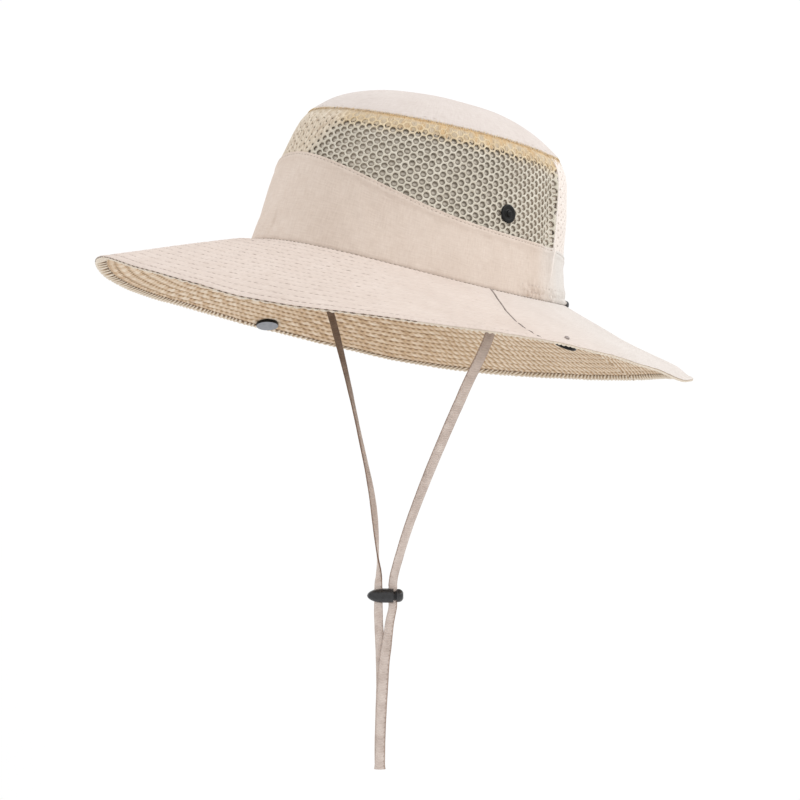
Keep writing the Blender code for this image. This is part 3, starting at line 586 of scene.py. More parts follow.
MAT["lining"] = make_lining("lining_cloth", (212, 194, 171), (230, 213, 192), (243, 231, 214), (220, 201, 178), (150, 124, 98))
MAT["rim"] = make_lining("rim_cloth", (208, 193, 174), (224, 211, 194), (236, 226, 212), (212, 196, 174), (128, 106, 84))
MAT["net"] = make_net()
COLS, PITCH_V = 138, 0.00445                   # netting: holes round the crown, and their pitch up it
MAT["backing"] = make_shade_backing(ROUND / COLS, PITCH_V)
MAT["tape"] = make_tape()
MAT["thread"] = make_thread("thread_sand", (176, 160, 150), (200, 185, 175), (222, 210, 201))
MAT["thread_pale"] = make_thread("thread_pale", (200, 186, 176), (214, 201, 192), (228, 217, 209))
MAT["thread_dark"] = make_thread("thread_brown", (92, 76, 62), (120, 102, 86), (146, 128, 110))
MAT["seam_shade_thread"] = make_thread("seam_shade_thread", (92, 78, 72), (114, 98, 91), (138, 122, 114))
MAT["thread_rim"] = make_thread("thread_rim", (84, 64, 50), (110, 88, 70), (140, 116, 94))
MAT["thread_hem"] = make_thread("thread_hem", (136, 119, 108), (156, 139, 127), (178, 161, 148))
MAT["thread_gold"] = make_thread("thread_gold", (200, 168, 122), (224, 198, 156), (240, 222, 188))
MAT["thread_tan"] = make_thread("thread_tan", (150, 128, 104), (176, 154, 130), (204, 184, 160))
MAT["thread_lining"] = make_thread("thread_lining", (150, 128, 102), (182, 160, 132), (210, 190, 164))
MAT["cord"] = make_braid("chin_cord_tape", (178, 162, 152), (206, 191, 182), (226, 214, 205), 0.0016, 4.0, True)
MAT["size_cord"] = make_braid("size_cord_braid", (150, 130, 112), (182, 162, 144), (208, 190, 172), 0.0018, 6.0)
MAT["plastic"] = make_black("lock_plastic", (26, 26, 28), (46, 46, 49), 0.32, spec=0.6)
MAT["snap"] = make_black("snap_lacquer", (8, 8, 8), (20, 19, 18), 0.30, spec=0.22)
MAT["socket"] = make_black("socket_metal", (150, 140, 136), (186, 176, 172), 0.38, metal=0.6)
MAT["snap_face"] = make_black("snap_face_metal", (121, 123, 128), (147, 148, 153), 0.36, metal=0.9)
MAT["eyelet"] = make_black("eyelet_lacquer", (20, 19, 19), (40, 39, 38), 0.36, spec=0.6)
MAT["steel"] = make_black("spring_wire", (150, 150, 154), (186, 186, 190), 0.28, metal=1.0, grain=5200.0, depth=0.00001)


# ------------------------------------------------------------------ mesh builders
def build(name, verts, faces, uvs=None, mat=None, attrs=None, sharp=50):
    """Mesh object from vertices, face arrays (each n x k) and matching corner coordinates."""
    me = bpy.data.meshes.new(name)
    verts = np.ascontiguousarray(np.asarray(verts, np.float32).reshape(-1, 3))
    faces = [np.asarray(f, np.int32) for f in faces if len(f)]
    loops = np.concatenate([f.ravel() for f in faces])
    sizes = np.concatenate([np.full(len(f), f.shape[1], np.int32) for f in faces])
    starts = np.concatenate([[0], np.cumsum(sizes)[:-1]]).astype(np.int32)
    me.vertices.add(len(verts))
    me.vertices.foreach_set("co", verts.ravel())
    me.loops.add(len(loops))
    me.loops.foreach_set("vertex_index", loops)
    me.polygons.add(len(sizes))
    me.polygons.foreach_set("loop_start", starts)
    me.update(calc_edges=True)
    if uvs is not None:
        layer = me.uv_layers.new(name="cloth")
        flat = np.concatenate([np.asarray(u, np.float32).reshape(-1, 2) for u in uvs])
        layer.data.foreach_set("uv", flat.ravel())
    for key, val in (attrs or {}).items():
        a = me.attributes.new(key, "FLOAT", "POINT")
        a.data.foreach_set("value", np.ascontiguousarray(val, np.float32).ravel())
    me.polygons.foreach_set("use_smooth", np.ones(len(sizes), bool))
    if sharp:
        me.set_sharp_from_angle(angle=math.radians(sharp))
    ob = bpy.data.objects.new(name, me)
    bpy.context.scene.collection.objects.link(ob)
    if mat:
        me.materials.append(MAT[mat])
    return ob


def shell(name, top, bot, us, vs, closed=False, flip=False, mat=None, ku=1, kv=1, attrs=None, poles=None, sharp=50):
    """Closed cloth layer between a fine grid top (nv, nu, 3) and a grid bot that takes every kv-th row and ku-th column.
    us (nv or 1, columns) and vs (nv or 1, columns) are cloth coordinates in metres; a closed ring has one column more there."""
    nv, nu = top.shape[:2]
    cols = nu + 1 if closed else nu
    us = np.broadcast_to(us, (nv, cols))
    vs = np.broadcast_to(vs, (nv, cols))
    it = np.arange(nv * nu).reshape(nv, nu)
    bv, bu = bot.shape[:2]
    ib = (np.arange(bv * bu) + nv * nu).reshape(bv, bu)
    if closed:
        it = np.concatenate([it, it[:, :1]], 1)
        ib = np.concatenate([ib, ib[:, :1]], 1)
    ut = np.stack([us, vs], -1)
    ubt = ut[::kv, ::ku]
    faces, uvs = [], []

    def quads(ix, uv, back):
        f = np.stack([ix[:-1, :-1], ix[:-1, 1:], ix[1:, 1:], ix[1:, :-1]], -1).reshape(-1, 4)
        u = np.stack([uv[:-1, :-1], uv[:-1, 1:], uv[1:, 1:], uv[1:, :-1]], -2).reshape(-1, 4, 2)
        if back != flip:
            f, u = f[:, ::-1], u[:, ::-1]
        faces.append(f)
        uvs.append(u)

    quads(it, ut, False)
    quads(ib, ubt, True)

    def wall(fine, coarse, uf, uc, k, forward):
        m = len(coarse) - 1
        seg = np.arange(m)[:, None] * k + np.arange(k + 1)[None]
        f = np.concatenate([fine[seg], coarse[1:, None], coarse[:-1, None]], 1)
        u = np.concatenate([uf[seg], uc[1:, None], uc[:-1, None]], 1)
        if forward == flip:
            f, u = f[:, ::-1], u[:, ::-1]
        faces.append(f)
        uvs.append(u)

    wall(it[0], ib[0], ut[0], ubt[0], ku, False)
    verts = [top.reshape(-1, 3), bot.reshape(-1, 3)]
    if poles is None:
        wall(it[-1], ib[-1], ut[-1], ubt[-1], ku, True)
    else:
        n0 = nv * nu + bv * bu
        verts.append(np.asarray(poles, float).reshape(2, 3))
        for ring, uv, pole, back in ((it[-1], ut[-1], n0, False), (ib[-1], ubt[-1], n0 + 1, True)):
            f = np.stack([ring[:-1], ring[1:], np.full(len(ring) - 1, pole)], -1)
            u = np.stack([uv[:-1], uv[1:], 0.5 * (uv[:-1] + uv[1:]) + np.array((0, 0.001))], -2)
            if back != flip:
                f, u = f[:, ::-1], u[:, ::-1]
            faces.append(f)
            uvs.append(u)
    if not closed:
        wall(it[:, 0], ib[:, 0], ut[:, 0], ubt[:, 0], kv, True)
        wall(it[:, -1], ib[:, -1], ut[:, -1], ubt[:, -1], kv, False)
    full = None
    if attrs:
        pad = sum(len(v) for v in verts[1:])
        full = {}
        for key, val in attrs.items():
            back = np.asarray(val)[::kv, ::ku].ravel()
            full[key] = np.concatenate([np.asarray(val).ravel(), back, np.zeros(pad - len(back))])
    return build(name, np.concatenate(verts), faces, uvs, mat, full, sharp)


def sweep(name, rings, us, vs, mat=None, closed=False, attrs=None, sharp=50):
    """Closed body through rings (n, k, 3) of closed sections; ends capped unless the path closes on itself."""
    n, k = rings.shape[:2]
    ix = np.arange(n * k).reshape(n, k)
    ixw = np.concatenate([ix, ix[:, :1]], 1)
    uv = np.stack([np.broadcast_to(np.asarray(us, float)[:, None], (n, k + 1)), np.broadcast_to(np.asarray(vs, float)[None], (n, k + 1))], -1)
    if closed:
        ixw = np.concatenate([ixw, ixw[:1]], 0)
        uv = np.concatenate([uv, uv[-1:] + (uv[-1:] - uv[-2:-1])], 0)
    f = np.stack([ixw[:-1, :-1], ixw[:-1, 1:], ixw[1:, 1:], ixw[1:, :-1]], -1).reshape(-1, 4)
    u = np.stack([uv[:-1, :-1], uv[:-1, 1:], uv[1:, 1:], uv[1:, :-1]], -2).reshape(-1, 4, 2)
    # outward orientation from the signed volume of the side faces
    v = rings.reshape(-1, 3)
    c = v.mean(0)
    a, b, d, e = (v[f[:, i]] - c for i in range(4))
    vol = (np.einsum("ij,ij->i", a, np.cross(b, d)) + np.einsum("ij,ij->i", a, np.cross(d, e))).sum()
    faces, uvs = [f], [u]
    if not closed:
        faces += [ix[0][None, ::-1], ix[-1][None]]
        uvs += [uv[0, :k][None, ::-1], uv[-1, :k][None]]
    if vol < 0:
        faces, uvs = [x[:, ::-1] for x in faces], [x[:, ::-1] for x in uvs]
    return build(name, v, faces, uvs, mat, attrs, sharp)


def fillet(pts, r, seg=4):
    """Polyline with its inner corners rounded by about r."""
    p = [np.array(q, float) for q in pts]
    out = [p[0]]
    for a, b, c in zip(p, p[1:], p[2:]):
        la, lc = np.linalg.norm(a - b), np.linalg.norm(c - b)
        k = min(r, 0.45 * la, 0.45 * lc)
        s, e = b + (a - b) / la * k, b + (c - b) / lc * k
        for i in range(seg + 1):
            t = i / seg
            out.append((1 - t) ** 2 * s + 2 * t * (1 - t) * b + t * t * e)
    return np.array(out + [p[-1]])


def turned(name, profile, at, axis, mat, steps=48, r=0.0002, mats=None, closed=False, sharp=50):
    """Body of revolution about axis through at.  profile is (radius, height) from the top down its outer side."""
    prof = fillet(profile, r) if not closed else fillet(list(profile) + [profile[0], profile[1]], r)[1:-1]
    if closed:
        prof = prof[:-1] if np.allclose(prof[0], prof[-1]) else prof
    z = unit(np.array(axis, float))
    x = unit(np.cross(z, (0.3, 0.9, 0.2)))
    y = np.cross(z, x)
    ang = 2 * PI * np.arange(steps) / steps
    ring = np.cos(ang)[:, None] * x + np.sin(ang)[:, None] * y
    at = np.array(at, float)
    n = len(prof)
    verts = at + prof[:, None, :1] * ring[None] + prof[:, None, 1:] * z
    ix = np.arange(n * steps).reshape(n, steps)
    ixw = np.concatenate([ix, ix[:, :1]], 1)
    if closed:
        ixw = np.concatenate([ixw, ixw[:1]], 0)
    f = np.stack([ixw[:-1, :-1], ixw[1:, :-1], ixw[1:, 1:], ixw[:-1, 1:]], -1).reshape(-1, 4)
    own = np.repeat(np.arange(len(ixw) - 1), steps)
    if not closed:
        keep = np.ones(len(f), bool)
        keep[own == 0] = False
        keep[own == n - 2] = False
        v = np.concatenate([[at + z * prof[0, 1]], verts[1:-1].reshape(-1, 3), [at + z * prof[-1, 1]]])
        f = f[keep] - steps + 1
        own = own[keep]
        last = len(v) - 1
        i0 = 1 + np.arange(steps)
        i1 = last - steps + np.arange(steps)
        caps = np.concatenate([np.stack([np.zeros(steps, int), i0, np.roll(i0, -1)], -1),
                               np.stack([np.full(steps, last), np.roll(i1, -1), i1], -1)])
        ob = build(name, v, [f, caps], None, mat, None, sharp)
    else:
        ob = build(name, verts.reshape(-1, 3), [f], None, mat, None, sharp)
    bm = bmesh.new()
    bm.from_mesh(ob.data)
    bmesh.ops.recalc_face_normals(bm, faces=bm.faces)
    bm.to_mesh(ob.data)
    bm.free()
    if mats:
        second, test = mats
        ob.data.materials.append(MAT[second])
        for poly in ob.data.polygons:
            c = np.array(poly.center) - at
            h = float(c @ z)
            if test(float(np.linalg.norm(c - h * z)), h):
                poly.material_index = 1
    return ob


def stitches(name, p, t, n, mat, length=0.0023, radius=0.00022, sides=6, dip=1.1):
    """Rows of sewn stitches: short threads along t that dive into the cloth at both ends."""
    m = len(p)
    b = unit(np.cross(n, t))
    n = unit(np.cross(t, b))
    length = np.broadcast_to(length, (m,))
    ang = 2 * PI * np.arange(sides) / sides
    loc, uv = [(-0.5, 0.0, -dip)], [(-0.5, 0.0)]
    for x, r in ((-0.37, 0.74), (0.0, 1.0), (0.37, 0.74)):
        for i, a in enumerate(ang):
            loc.append((x, r * math.cos(a), r * math.sin(a) * 0.8 - dip * (2 * x) ** 2))
            uv.append((x, i / sides))
    loc.append((0.5, 0.0, -dip))
    uv.append((0.5, 0.0))
    loc, uv = np.array(loc), np.array(uv)
    v = (p[:, None] + t[:, None] * (loc[None, :, :1] * length[:, None, None])
         + b[:, None] * (loc[None, :, 1:2] * radius) + n[:, None] * (loc[None, :, 2:] * radius))
    k = len(loc)
    q, tri = [], []
    for r0 in (1, 1 + sides):
        for i in range(sides):
            j = (i + 1) % sides
            q.append((r0 + i, r0 + j, r0 + sides + j, r0 + sides + i))
    for i in range(sides):
        j = (i + 1) % sides
        tri.append((0, 1 + j, 1 + i))
        tri.append((k - 1, 1 + 2 * sides + i, 1 + 2 * sides + j))
    q, tri = np.array(q)[:, ::-1], np.array(tri)[:, ::-1]
    off = (np.arange(m) * k)[:, None, None]
    uvl = np.array(uv)
    uvl = np.broadcast_to(uvl[None], (m, k, 2)) * np.stack([length, np.ones(m)], -1)[:, None]
    uvl = uvl.reshape(-1, 2)
    fq, ft = (q[None] + off).reshape(-1, 4), (tri[None] + off).reshape(-1, 3)
    return build(name, v.reshape(-1, 3), [fq, ft], [uvl[fq], uvl[ft]], mat, None, 0)


def along(pts, nrm, spacing, jitter=0.0, start=0.5, seed=1):
    """Stitch places on a polyline with normals: centres, directions, normals."""
    seg = np.linalg.norm(np.diff(pts, axis=0), axis=1)
    s = np.concatenate([[0], np.cumsum(seg)])
    count = max(1, int(s[-1] / spacing - start + 0.5))
    q = (np.arange(count) + start) * spacing
    r = np.random.default_rng(seed)
    q = np.clip(q + r.normal(0, jitter, count), 0, s[-1])

    def at(x, arr):
        return np.stack([np.interp(x, s, arr[:, k]) for k in range(3)], -1)
    c = at(q, pts)
    d = unit(at(np.minimum(q + 0.0006, s[-1]), pts) - at(np.maximum(q - 0.0006, 0), pts))
    return c, d, unit(at(q, nrm))


def stitch_rows(name, rows, mat, length, radius, **kw):
    p, t, n = (np.concatenate(x) for x in zip(*rows))
    return stitches(name, tilt(p), tilt(t), tilt(n), mat, length, radius, **kw)


def settle(ob, body, nodes=()):
    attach(ob, body)
    if nodes:
        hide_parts(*nodes)
    return ob


def settle_bent(ob, side, nodes=()):
    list(BEND[side])
    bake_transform(ob)
    if nodes:
        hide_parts(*nodes)
    return ob


SIDES = (("left", 1), ("right", -1))

# ------------------------------------------------------------------ chin cord: flat loop through the lock
def cord_body(name, path, wide, mat, width, brim_shade=(-0.066, -0.018, 1.0)):
    """Flat tape along path, as broad as width says at shares of its length.  wide gives its broad direction."""
    t = unit(np.gradient(path, axis=0))
    w = unit(wide - t * np.sum(wide * t, -1, keepdims=True))
    n = np.cross(t, w)
    s = np.concatenate([[0], np.cumsum(np.linalg.norm(np.diff(path, axis=0), axis=1))])
    k = 28
    a = 2 * PI * (np.arange(k) + 0.5) / k
    cx = np.sign(np.cos(a)) * np.abs(np.cos(a)) ** 0.55
    cy = np.sign(np.sin(a)) * np.abs(np.sin(a)) ** 0.75
    plait = 1 + 0.02 * np.sin(2 * PI * s / 0.0021)[:, None] * np.abs(cy)[None]
    hollow = 1 - 0.22 * bell(cx - 0.62, 0.10) * (np.abs(cy) > 0.3) - 0.10 * bell(cx + 0.72, 0.10)
    half = np.interp(np.linspace(0, 1, len(path)), *zip(*width)) / 2
    hx = half[:, None] * cx[None] * (1 + 0.012 * hum(s, 0 * s, 5, 0.011, 1.0))[:, None]
    hy = CORD_T / 2 * cy[None] * plait * hollow[None] * (1 + 0.10 * hum(s, 0 * s, 6, 0.02, 1.0))[:, None]
    rings = path[:, None] + w[:, None] * hx[..., None] + n[:, None] * hy[..., None]
    vs = np.concatenate([np.arange(k), [k]]) / k
    under = np.repeat(brim_shade[2] * ease(path[:, 2], brim_shade[0], brim_shade[1]), k)   # painted shade: darker and browner towards the top, where the cord hangs just under the brim
    return sweep(name, rings, s, vs, mat, attrs={"top": under})


def turn_width(path, angles, flip=1.0):
    """Broad direction of the tape from its turn (degrees) against the picture plane, at shares of its length."""
    t = unit(np.gradient(path, axis=0))
    c = np.array(CAM_C)
    c = unit(c - t * (t @ c)[:, None])
    r = unit(np.cross(t, c)) * flip
    q = np.linspace(0, 1, len(path))
    x = np.array(angles, float)
    k = np.argsort(x[:, 0])
    f = smooth_curve(np.column_stack([x[k], np.zeros(len(x))]), 24)
    a = np.radians(np.interp(q, f[:, 0], f[:, 1]))
    return r * np.cos(a)[:, None] + c * np.sin(a)[:, None]


CORDS = {}
for side, sx in SIDES:
    ax, ay = ANCHOR[side]
    start = tilt((ax, ay, ANCHOR_LOW - GAP))
    below = tilt((ax - sx * 0.0015, ay, ANCHOR_LOW - 0.008))
    slot_at = LP + E1 * STRAND[side]
    pts = [start, below, *ROUTE[side], slot_at + E3 * 0.0078, slot_at + E3 * 0.0056]
    path = np.vstack([even(smooth_curve(pts, 24), 0.0009), slot_at + E3 * 0.0030, slot_at + E3 * 0.00015])
    path = even(path, 0.0009)
    if side == "left":
        path = path + np.array(CAM_R) * np.interp(path[:, 2], (-0.185, -0.150, -0.120, -0.100, -0.075, -0.050, -0.030, -0.016), (0, 0.0005, 0.0014, 0.0021, 0.0027, 0.0022, 0.0010, 0))[:, None]
        wide = turn_width(path, ((0, 24), (0.2, 14), (0.5, 8), (0.8, 16), (1, 0)))
    else:
        wide = turn_width(path, ((0, 12), (0.12, 20), (0.30, 52), (0.45, 68), (0.60, 60), (0.74, 44), (0.86, 78), (0.93, 128), (1, 180)))
    ob = cord_body("chin_cord_tape_" + side, path, wide, "cord", ((0, 0.0060), (0.25, 0.0064), (0.6, 0.0060), (0.85, 0.0054), (1, 0.0052)) if side == "left" else ((0, 0.0047), (0.3, 0.0047), (0.6, 0.0050), (1, 0.0052)), (-0.066, -0.018, 0.85) if side == "left" else (-0.130, -0.030, 1.05))
    CORDS[side] = (ob, path)

SL, SR = STRAND["left"], STRAND["right"]
TAIL_DOWN = ((0.0047, 0, 0.0056), (0.0044, 0.0001, 0.0085), (0.0026, 0.0006, 0.0172), (0.0010, 0.0009, 0.0303), (-0.0007, 0.0011, 0.0434), (-0.0015, 0.0013, 0.0565),
             (-0.0022, 0.0015, 0.0696), (-0.0027, 0.0016, 0.0826), (-0.0030, 0.0016, 0.0957))
TAIL_UP = ((-0.0037, -0.0016, 0.0957), (-0.0035, -0.0016, 0.0826), (-0.0032, -0.0015, 0.0696), (-0.0028, -0.0013, 0.0565), (-0.0030, -0.0011, 0.0434), (-0.0034, -0.0009, 0.0303),
           (-0.0040, -0.0005, 0.0172), (-0.0042, -0.0001, 0.0085), (-0.0042, 0, 0.0056))
zb = LP[2] - TAIL_Z + 0.0016
turn = [(-0.0034, 0.0015 * math.cos(PI * k / 4), zb - 0.0022 + 0.0015 * math.sin(PI * k / 4)) for k in range(5)]
tail = [LP + E1 * a + E2 * b - E3 * c for a, b, c in (*TAIL_DOWN, *turn, *TAIL_UP)]
fine = smooth_curve(tail, 30)
bend = fine[:, 2] < TAIL_Z + 0.006
first, last = np.argmax(bend), len(bend) - np.argmax(bend[::-1]) - 1
tail_path = np.vstack([LP + E1 * SL - E3 * 0.00015, LP + E1 * SL - E3 * 0.0030, even(fine[:first + 1], 0.0010)[:-1],
                       even(fine[first:last + 1], 0.00035), even(fine[last:], 0.0010)[1:], LP + E1 * SR - E3 * 0.0030, LP + E1 * SR - E3 * 0.00015])
ob = cord_body("chin_cord_tape_tail", tail_path, np.broadcast_to(E1, tail_path.shape), "cord", ((0, 0.0052), (0.05, 0.0054), (0.12, 0.0060), (0.20, 0.0066), (0.30, 0.0062), (0.37, 0.0058), (0.45, 0.0063), (0.50, 0.0071),
                (0.55, 0.0062), (0.70, 0.0056), (0.95, 0.0054), (1, 0.0052)))
CORDS["tail"] = (ob, tail_path)

for side, sx in SIDES:
    ob, path = CORDS[side]
    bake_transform(ob)
    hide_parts("chin_cord_" + side)
ob, path = CORDS["tail"]
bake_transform(ob)
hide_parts("chin_cord_tail")

# ------------------------------------------------------------------ crown top
NPH = 320
PHIS = phi_of(ROUND * np.arange(NPH) / NPH)
ARCS = ROUND * np.arange(NPH + 1) / NPH
S_SEAM = float(s_of_h(SEAM_H))
rows = np.concatenate([S_SEAM + np.array((-0.0007, -0.0006, -0.0003, 0.0, 0.0005, 0.0011, 0.0018, 0.0027, 0.0038, 0.0052)),
                       np.linspace(S_SEAM + 0.007, S_END - 0.0022, 40)])
over = np.interp(rows - S_SEAM, (-0.0007, -0.0006, -0.0003, 0.0, 0.0011, 0.0060, 0.02), (0.00025, 0.00042, 0.00056, 0.00064, 0.00070, 0.0006, 0.0005))
pucker = (np.exp(-np.maximum(rows - S_SEAM, 0) / 0.0045)[:, None]
          * (0.00022 * hum(ARCS[None, :-1], rows[:, None], 31, 0.0075, 0.05)))
top, nor = crown(PHIS[None], rows[:, None], over[:, None] + pucker)
thick = np.interp(rows - S_SEAM, (-0.0007, 0.0, 0.002), (0.0002, 0.0004, 0.0006))
apex, _ = crown(np.array([0.0]), np.array([S_END - 1e-6]), 0.0005)
apex = np.array((0.0, 0.0, apex[0, 2]))
settle(shell("crown_top_cloth", tilt(top), tilt((top - nor * thick[:, None, None])[::1, ::4]), ARCS[None], rows[:, None], closed=True, ku=4,
             mat="top", poles=tilt(np.array([apex, apex - (0, 0, 0.0006)]))), "hat", ["crown_top"])

# ------------------------------------------------------------------ golden seam tape, folded over the top of the netting
n_t = 1500
ph = phi_of(ROUND * np.arange(n_t) / n_t)
arc = ROUND * np.arange(n_t) / n_t
rag = 0.00062 * hum(arc, 0 * arc, 41, 0.0019, 1.0, 9) + 0.00045 * hum(arc, 0 * arc, 42, 0.012, 1.0)
rib = 0.00010 * hum(arc, 0 * arc, 43, 0.0013, 1.0, 9) + 0.00008 * hum(arc, 0 * arc, 44, 0.006, 1.0)
s_lo, s_hi = float(s_of_h(TAPE_LOW_H - 0.0004)), S_SEAM + 0.0010
sec_s, sec_o, loose, front = [], [], [], []
for q in np.linspace(0, 1, 9):
    sec_s.append(s_lo + (s_hi - s_lo) * q)
    sec_o.append(np.interp(q, (0, 0.15, 0.35, 0.6, 1.0), (-0.00062, -0.00040, -0.00012, 0.00012, 0.00004)))
    loose.append(1.0 - q)
    front.append(1.0)
sec_s += [s_hi + 0.0004, s_hi + 0.0004]
sec_o += [0.0001, -0.0019]
loose += [0, 0]
front += [0, 0]
for q in np.linspace(1, 0, 5):
    sec_s.append(s_lo + 0.0006 + (s_hi - s_lo - 0.0006) * q)
    sec_o.append(-0.0022)
    loose.append(0.5 * (1 - q))
    front.append(0.0)
for q in np.linspace(0, 1, 5):
    sec_s.append(s_lo + 0.0006 + (s_hi - s_lo - 0.0012) * q)
    sec_o.append(-0.0018)
    loose.append(0.5 * (1 - q))
    front.append(0.0)
for q in np.linspace(1, 0, 8):
    sec_s.append(s_lo + (s_hi - s_lo - 0.0006) * q)
    sec_o.append(np.interp(q, (0, 0.15, 0.35, 0.6, 1.0), (-0.00062, -0.00040, -0.00012, 0.00012, 0.00004)) - 0.0003)
    loose.append(1.0 - q)
    front.append(0.0)
sec_s, sec_o, loose, front = (np.array(x) for x in (sec_s, sec_o, loose, front))
ring, _ = crown(ph[:, None], sec_s[None] + rag[:, None] * loose[None] ** 2, sec_o[None] + rib[:, None] * front[None])
aged = 0.25 + 0.75 * ease(np.abs(np.degrees(wrap(ph))), 18.0, 46.0)
settle(sweep("seam_tape_cloth", tilt(ring), arc, np.append(sec_s, sec_s[0]), "tape", closed=True,
             attrs={"aged": np.repeat(aged, len(sec_s))}), "hat", ["crown_seam_tape"])
# overlocked edge of the top panel: short upright stitches across the tape's upper edge
n_o = int(ROUND / 0.0016)
q = ROUND * np.arange(n_o) / n_o + 0.0003 * RNG.normal(size=n_o)
low_s, high_s = S_SEAM - 0.0021 + 0.0004 * RNG.normal(size=n_o), S_SEAM - 0.0001 + 0.0002 * RNG.normal(size=n_o)
p0, n0 = crown(phi_of(q), low_s, 0.00040)
p1, n1 = crown(phi_of(q + 0.0004 + 0.0003 * RNG.normal(size=n_o)), high_s, 0.00090)
settle(stitch_rows("top_overlock", [(0.5 * (p0 + p1), unit(p1 - p0), unit(n0 + n1))], "thread_gold", 0.0024, 0.00021, dip=0.9), "hat")

# ------------------------------------------------------------------ netting: hexagon lattice with round holes
du = ROUND / COLS
cells = []
for i in range(COLS):
    ph0 = float(phi_of(np.array(i * du)))
    lo, hi = float(s_of_h(wave_h(ph0))) - 0.0034, S_SEAM + 0.0004
    j0 = math.ceil((lo - 0.002) / PITCH_V - 0.5 * (i % 2))
    j = j0
    while True:
        v = (j + 0.5 * (i % 2)) * PITCH_V
        if v > hi:
            break
        cells.append((i, j))
        j += 1
cells = np.array(cells)
cu, cv = cells[:, 0] * du, (cells[:, 1] + 0.5 * (cells[:, 0] % 2)) * PITCH_V
hx = du * 2 / 3
corner = np.array(((hx, 0), (hx / 2, PITCH_V / 2), (-hx / 2, PITCH_V / 2), (-hx, 0), (-hx / 2, -PITCH_V / 2), (hx / 2, -PITCH_V / 2)))
rim = np.empty((12, 2))
rim[0::2] = corner
rim[1::2] = 0.5 * (corner + np.roll(corner, -1, 0))
# merge shared cell borders
key_u = np.round(((cu[:, None] + rim[None, :, 0]) % ROUND) / du * 6).astype(int) % (COLS * 6)
key_v = np.round((cv[:, None] + rim[None, :, 1]) / PITCH_V * 4).astype(int)
keys = np.stack([key_u, key_v], -1).reshape(-1, 2)
uniq, inv = np.unique(keys, axis=0, return_inverse=True)
inv = inv.reshape(-1, 12)
bu, bv = uniq[:, 0] / 6 * du, uniq[:, 1] / 4 * PITCH_V
ang = np.arctan2(rim[:, 1] / PITCH_V, rim[:, 0] / (du / 0.866))
hole = np.stack([0.405 * du / 0.866 * np.cos(ang), 0.378 * PITCH_V * np.sin(ang)], -1)


def dense(u, v):
    """Where the knit closes up: over the forehead, and behind the rear crease."""
    deg = np.degrees(wrap(phi_of(u)))
    lim = np.interp(h_of_s(v), (0.052, 0.076), (6.0, 18.0)) + np.where(deg < 0, 20.0, 0.0)
    deg = np.abs(deg)
    rear = np.interp(h_of_s(v), (0.02, 0.08), (122.5, 129.5))
    return 1 - ease(deg - lim, -4.0, 7.0), ease(deg - rear, -1.4, 0.9)


near, far = dense(cu, cv)
wob = (1 + 0.05 * RNG.normal(size=len(cells))) * (1 - 0.82 * near) * (1 - 0.92 * far)
wob = wob[:, None, None]
hu, hv = cu[:, None] + hole[None, :, 0] * wob[..., 0], cv[:, None] + hole[None, :, 1] * wob[..., 0]
mu, mv = cu[:, None] + (0.42 * rim[None, :, 0] + 0.58 * hole[None, :, 0] * wob[..., 0]), cv[:, None] + (0.42 * rim[None, :, 1] + 0.58 * hole[None, :, 1] * wob[..., 0])


def net_at(u, v, off):
    u = u + 0.00020 * hum(u, v, 51, 0.03, 0.02)
    v = v + 0.00020 * hum(u, v, 52, 0.03, 0.02)
    fa = phi_of(u)
    under = s_of_h(wave_h(fa) + 0.0006) - v                             # how far it runs down behind the band
    p, _ = crown(fa, np.maximum(v, 0.0), off - 0.0006 * ease(under, 0.0002, 0.0026))
    return tilt(p)


YARN = 0.00042
mid_off = -0.00028
bf, bb = net_at(bu, bv, mid_off + YARN), net_at(bu, bv, mid_off - YARN)
mf, mb = net_at(mu.ravel(), mv.ravel(), mid_off + 0.78 * YARN), net_at(mu.ravel(), mv.ravel(), mid_off - 0.78 * YARN)
hr = net_at(hu.ravel(), hv.ravel(), mid_off)
nb, nc = len(bf), len(cells)
o_bb, o_mf, o_mb, o_h = nb, 2 * nb, 2 * nb + nc * 12, 2 * nb + nc * 24
own = np.arange(nc * 12).reshape(nc, 12)
nxt = np.roll(own, -1, 1)
bin_, bnx = inv, np.roll(inv, -1, 1)


def stack(*q):
    return np.stack([x.ravel() for x in q], -1)


faces = [stack(bin_, bnx, o_mf + nxt, o_mf + own), stack(o_mf + own, o_mf + nxt, o_h + nxt, o_h + own),
         stack(o_bb + bnx, o_bb + bin_, o_mb + own, o_mb + nxt), stack(o_mb + nxt, o_mb + own, o_h + own, o_h + nxt)]
edges = np.sort(np.stack([bin_.ravel(), bnx.ravel()], -1), 1)
_, einv, cnt = np.unique(edges, axis=0, return_inverse=True, return_counts=True)
lone = cnt[einv.ravel()] == 1
a_, b_ = bin_.ravel()[lone], bnx.ravel()[lone]
faces.append(np.stack([b_, a_, o_bb + a_, o_bb + b_], -1))
all_v = np.concatenate([bv, bv, mv.ravel(), mv.ravel(), hv.ravel()])
gold = ease(all_v, s_of_h(0.0700), s_of_h(0.0775)) * 0.85
all_u = np.concatenate([bu, bu, mu.ravel(), mu.ravel(), hu.ravel()])
near, far = dense(all_u, all_v)
net = build("crown_net", np.concatenate([bf, bb, mf, mb, hr]), faces, None, "net", {"gold": gold, "near": near, "far": far}, 0)
settle(net, "hat", ["crown_mesh"])

# thin lining behind the netting: a dim sheet whose colour paints the shade inside the crown seen through the holes
n_k = 240
ph = phi_of(ROUND * np.arange(n_k) / n_k)
arc = ROUND * np.arange(n_k + 1) / n_k
s_lo = s_of_h(wave_h(ph) - 0.0040)
S = s_lo[None] + (S_SEAM - 0.0004 - s_lo)[None] * np.linspace(0, 1, 20)[:, None]
top, nor = crown(ph[None], S, -0.0013)
near, far = dense(np.broadcast_to(arc[None, :-1], S.shape), S)
turn = np.degrees(np.abs(wrap(ph)))
